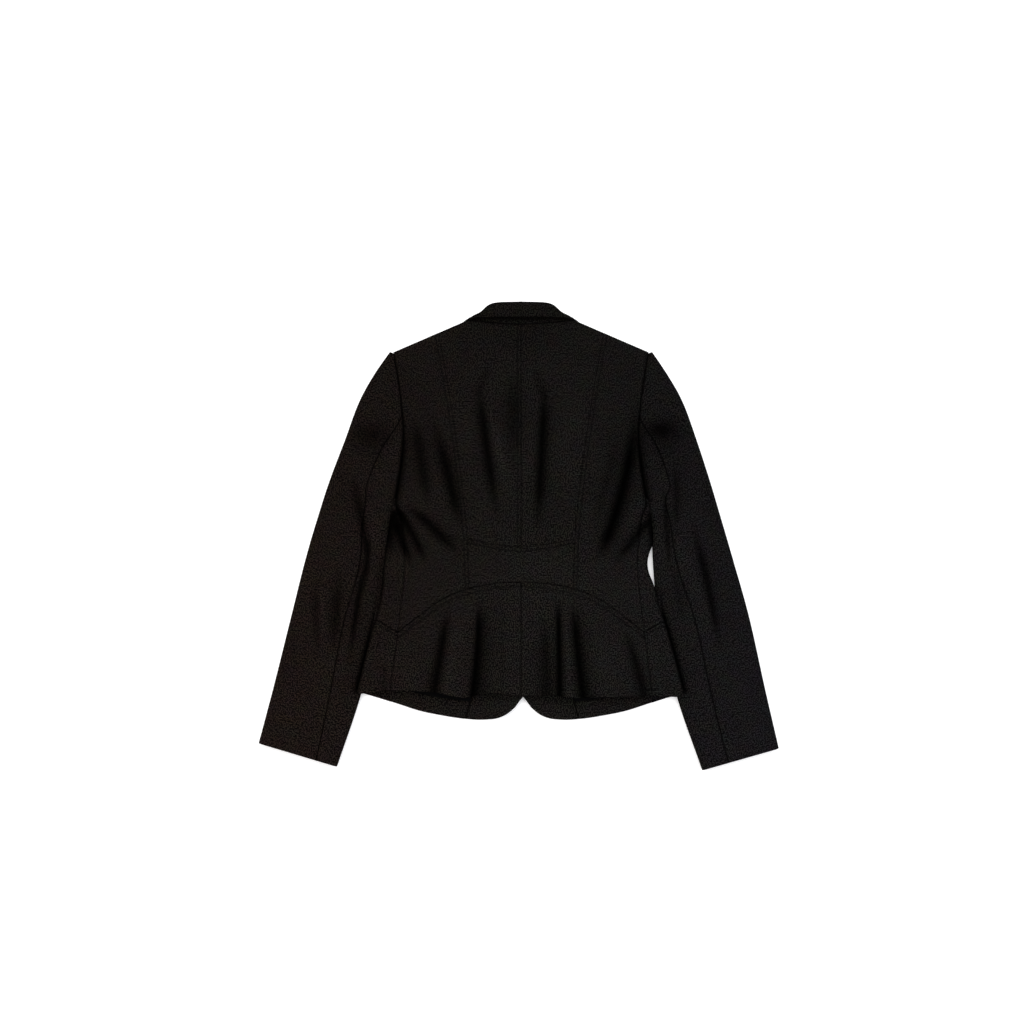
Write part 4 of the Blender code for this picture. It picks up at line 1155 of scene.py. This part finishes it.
def collarStand():
    places = collarPlaces(collar["standEnd"])
    fold, neck = collarLine("fold", places), collarLine("neck", places)
    neck[..., 1] = backTop(np.abs(neck[..., 0])) - collar["sewnIn"]
    neck[..., 2] = backHeight(neck[..., 0], neck[..., 1])[0] - collar["sewnUnder"]
    along = collarLine("fold", places + collar["probe"]) - collarLine("fold", places - collar["probe"])
    inward = unit(np.cross(along, neck - fold))
    t = np.concatenate((np.linspace(0, 0.86, 14), (0.9, 0.93, 0.955, 0.975, 0.99, 1)))[None, :, None]
    outer = blend(fold, neck, blend(collar["standFrom"], 1, t))
    run, alongRun = runLength(outer, 1), runLength(neck, 0)
    dip, pressed, _ = edgeFinish(("seam",), run[:, -1:] - run)
    inner = outer + inward * walls["collar"]
    outer = outer + inward * np.clip(-dip, 0, walls["collar"] * 0.6)[..., None]
    grain = np.stack((np.broadcast_to(alongRun - alongRun[-1] / 2, run.shape), -run), -1)
    # A painted shadow under the collar's fall, fading towards the neckline, and painted shade along the neckline
    # seam
    shadow = collar["standShade"] * (1 - ease(*collar["standLit"], t[..., 0]))
    shade = 1 - (1 - shadow) * (1 - np.clip(pressed, 0, 1))
    clothPiece("collar_stand", outer, inner, grain, shade)


collarFall()
collarStand()
print("collar sewn")

buttonLook = {
    "rim": 2.0, "rimRound": 0.7, "rimSlope": 0.8, "holes": 4, "holeRing": 2.4, "hole": 1.1, "holeTaper": 0.8,
    "holeHigh": 0.3, "holeLip": 0.25, "holeSink": 0.2,
}


# A round button with a raised rim and sunken thread holes, its face to the table
def makeButton():
    mesh = bmesh.new()
    bmesh.ops.create_cone(
        mesh, cap_ends=True, segments=48, radius1=button["radius"], radius2=button["radius"], depth=button["thick"]
    )
    rims = [edge for edge in mesh.edges if len({round(vert.co.z, 3) for vert in edge.verts}) == 1]
    bmesh.ops.bevel(
        mesh, geom=rims, offset=buttonLook["rimRound"], affect="EDGES", segments=4, profile=0.5, material=-1
    )
    face = min(mesh.faces, key=lambda f: f.calc_center_median().z - f.calc_area())
    for inset, sink in ((buttonLook["rim"], 0.0), (buttonLook["rimSlope"], button["dish"])):
        bmesh.ops.inset_region(mesh, faces=[face], thickness=inset)
        bmesh.ops.translate(mesh, verts=face.verts[:], vec=(0, 0, sink))
    for index in range(buttonLook["holes"]):
        angle = (index + 0.5) * 2 * np.pi / buttonLook["holes"]
        centre = Vector((np.cos(angle), np.sin(angle), 0)) * buttonLook["holeRing"]
        centre.z = -button["thick"] / 2 + button["dish"]
        made = bmesh.ops.create_cone(
            mesh, cap_ends=True, segments=16, radius1=buttonLook["hole"],
            radius2=buttonLook["hole"] * buttonLook["holeTaper"], depth=buttonLook["holeHigh"],
            matrix=Matrix.Translation(centre),
        )
        around = {face for vert in made["verts"] for face in vert.link_faces}
        cap = min(around, key=lambda f: f.calc_center_median().z)
        bmesh.ops.inset_region(mesh, faces=[cap], thickness=buttonLook["holeLip"])
        bmesh.ops.translate(mesh, verts=cap.verts[:], vec=(0, 0, buttonLook["holeSink"]))
    bmesh.ops.translate(mesh, verts=mesh.verts[:], vec=(front["axis"], button["y"], button["thick"] / 2))
    data = laidOut("button_horn", mesh)
    data.set_sharp_from_angle(angle=creaseAngles["horn"])
    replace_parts(addPiece(data, "horn"), "button")


makeButton()
stitch = {"pitch": 3.6, "long": 2.5, "wide": 0.62, "high": 0.42, "sink": 0.1}


# One small rounded bar for each stitch, laid along its line
def topstitching():
    mesh = bmesh.new()
    for line in stitchLines:
        run = runLength(line, 0)
        centres = np.arange(stitch["pitch"], run[-1] - stitch["pitch"], stitch["pitch"])
        at, ahead = (
            np.stack([np.interp(centres + step, run, line[:, axis]) for axis in range(3)], -1) for step in (0, 0.5)
        )
        for place, nextPlace in zip(at, ahead):
            heading = Vector(nextPlace - place).to_track_quat("X", "Z").to_matrix().to_4x4()
            size = Matrix.Diagonal((stitch["long"] / 2, stitch["wide"] / 2, stitch["high"] / 2, 1))
            lifted = Vector(place) + Vector((0, 0, stitch["high"] / 2 - stitch["sink"]))
            bmesh.ops.create_uvsphere(
                mesh, u_segments=6, v_segments=4, radius=1, matrix=Matrix.Translation(lifted) @ heading @ size
            )
    addPiece(laidOut("topstitching", mesh), "thread")


topstitching()
print("button and topstitching made")

studio = {
    "floor": 14.0, "floorColour": (0.92, 0.92, 0.92, 1), "floorGlow": 0.3, "floorRough": 0.9, "floorDrop": 0.0004,
    "sky": (1.0, 1.0, 1.0, 1), "skyStrength": 0.55,
    "lens": 100.0, "sensor": 36.0, "photoWidth": 1.536, "photoCentre": (-13.5, 34.5), "clothTop": 0.012,
}
# place, size, watts and colour of each soft box
softBoxes = {
    "left": ((-2.6, 0.2, 2.2), 2.4, 70.0, (1.0, 0.955, 0.92)),
    "right": ((2.6, 0.2, 2.2), 2.4, 70.0, (0.94, 0.955, 1.0)),
    "above": ((0.0, 2.4, 2.8), 2.4, 55.0, (1.0, 1.0, 1.0)),
}


def makeStudio():
    mesh = bmesh.new()
    bmesh.ops.create_grid(mesh, x_segments=1, y_segments=1, size=studio["floor"] / 2)
    bmesh.ops.translate(mesh, verts=mesh.verts[:], vec=(0, 0, -studio["floorDrop"]))
    data = meshData("floor", mesh)
    data.materials.append(newMaterial("white table", {
        "Base Color": studio["floorColour"], "Roughness": studio["floorRough"], "Specular IOR Level": 0.0,
        "Emission Color": (1, 1, 1, 1), "Emission Strength": studio["floorGlow"],
    })[0])
    floor = addObject("floor", data)
    world = bpy.data.worlds.new("studio")
    world.use_nodes = True
    sky = world.node_tree.nodes["Background"]
    sky.inputs["Color"].default_value = studio["sky"]
    sky.inputs["Strength"].default_value = studio["skyStrength"]
    bpy.context.scene.world = world
    for name, (place, size, watts, colour) in softBoxes.items():
        light = bpy.data.lights.new("soft box " + name, "AREA")
        light.shape, light.size, light.energy, light.color = "SQUARE", size, watts, colour
        lamp = addObject(light.name, light)
        lamp.location = place
        lamp.rotation_euler = (-Vector(place)).to_track_quat("-Z", "Y").to_euler()
        lamp.visible_camera = False
    bpy.context.scene.view_settings.view_transform = "Standard"


# straight down on the table, framed as the photograph
def makeCamera():
    lens = bpy.data.cameras.new("camera")
    lens.lens, lens.sensor_width = studio["lens"], studio["sensor"]
    camera = addObject("camera", lens)
    centre = (Vector(studio["photoCentre"]) + draftOrigin) * mm
    distance = studio["photoWidth"] * studio["lens"] / studio["sensor"]
    camera.location = (centre.x, centre.y, distance + studio["clothTop"])
    bpy.context.scene.camera = camera


makeStudio()
makeCamera()
bpy.context.view_layer.update()
for cut in cuts:
    print("cut %s: %d x %d mm, %d square centimetres" % cut)
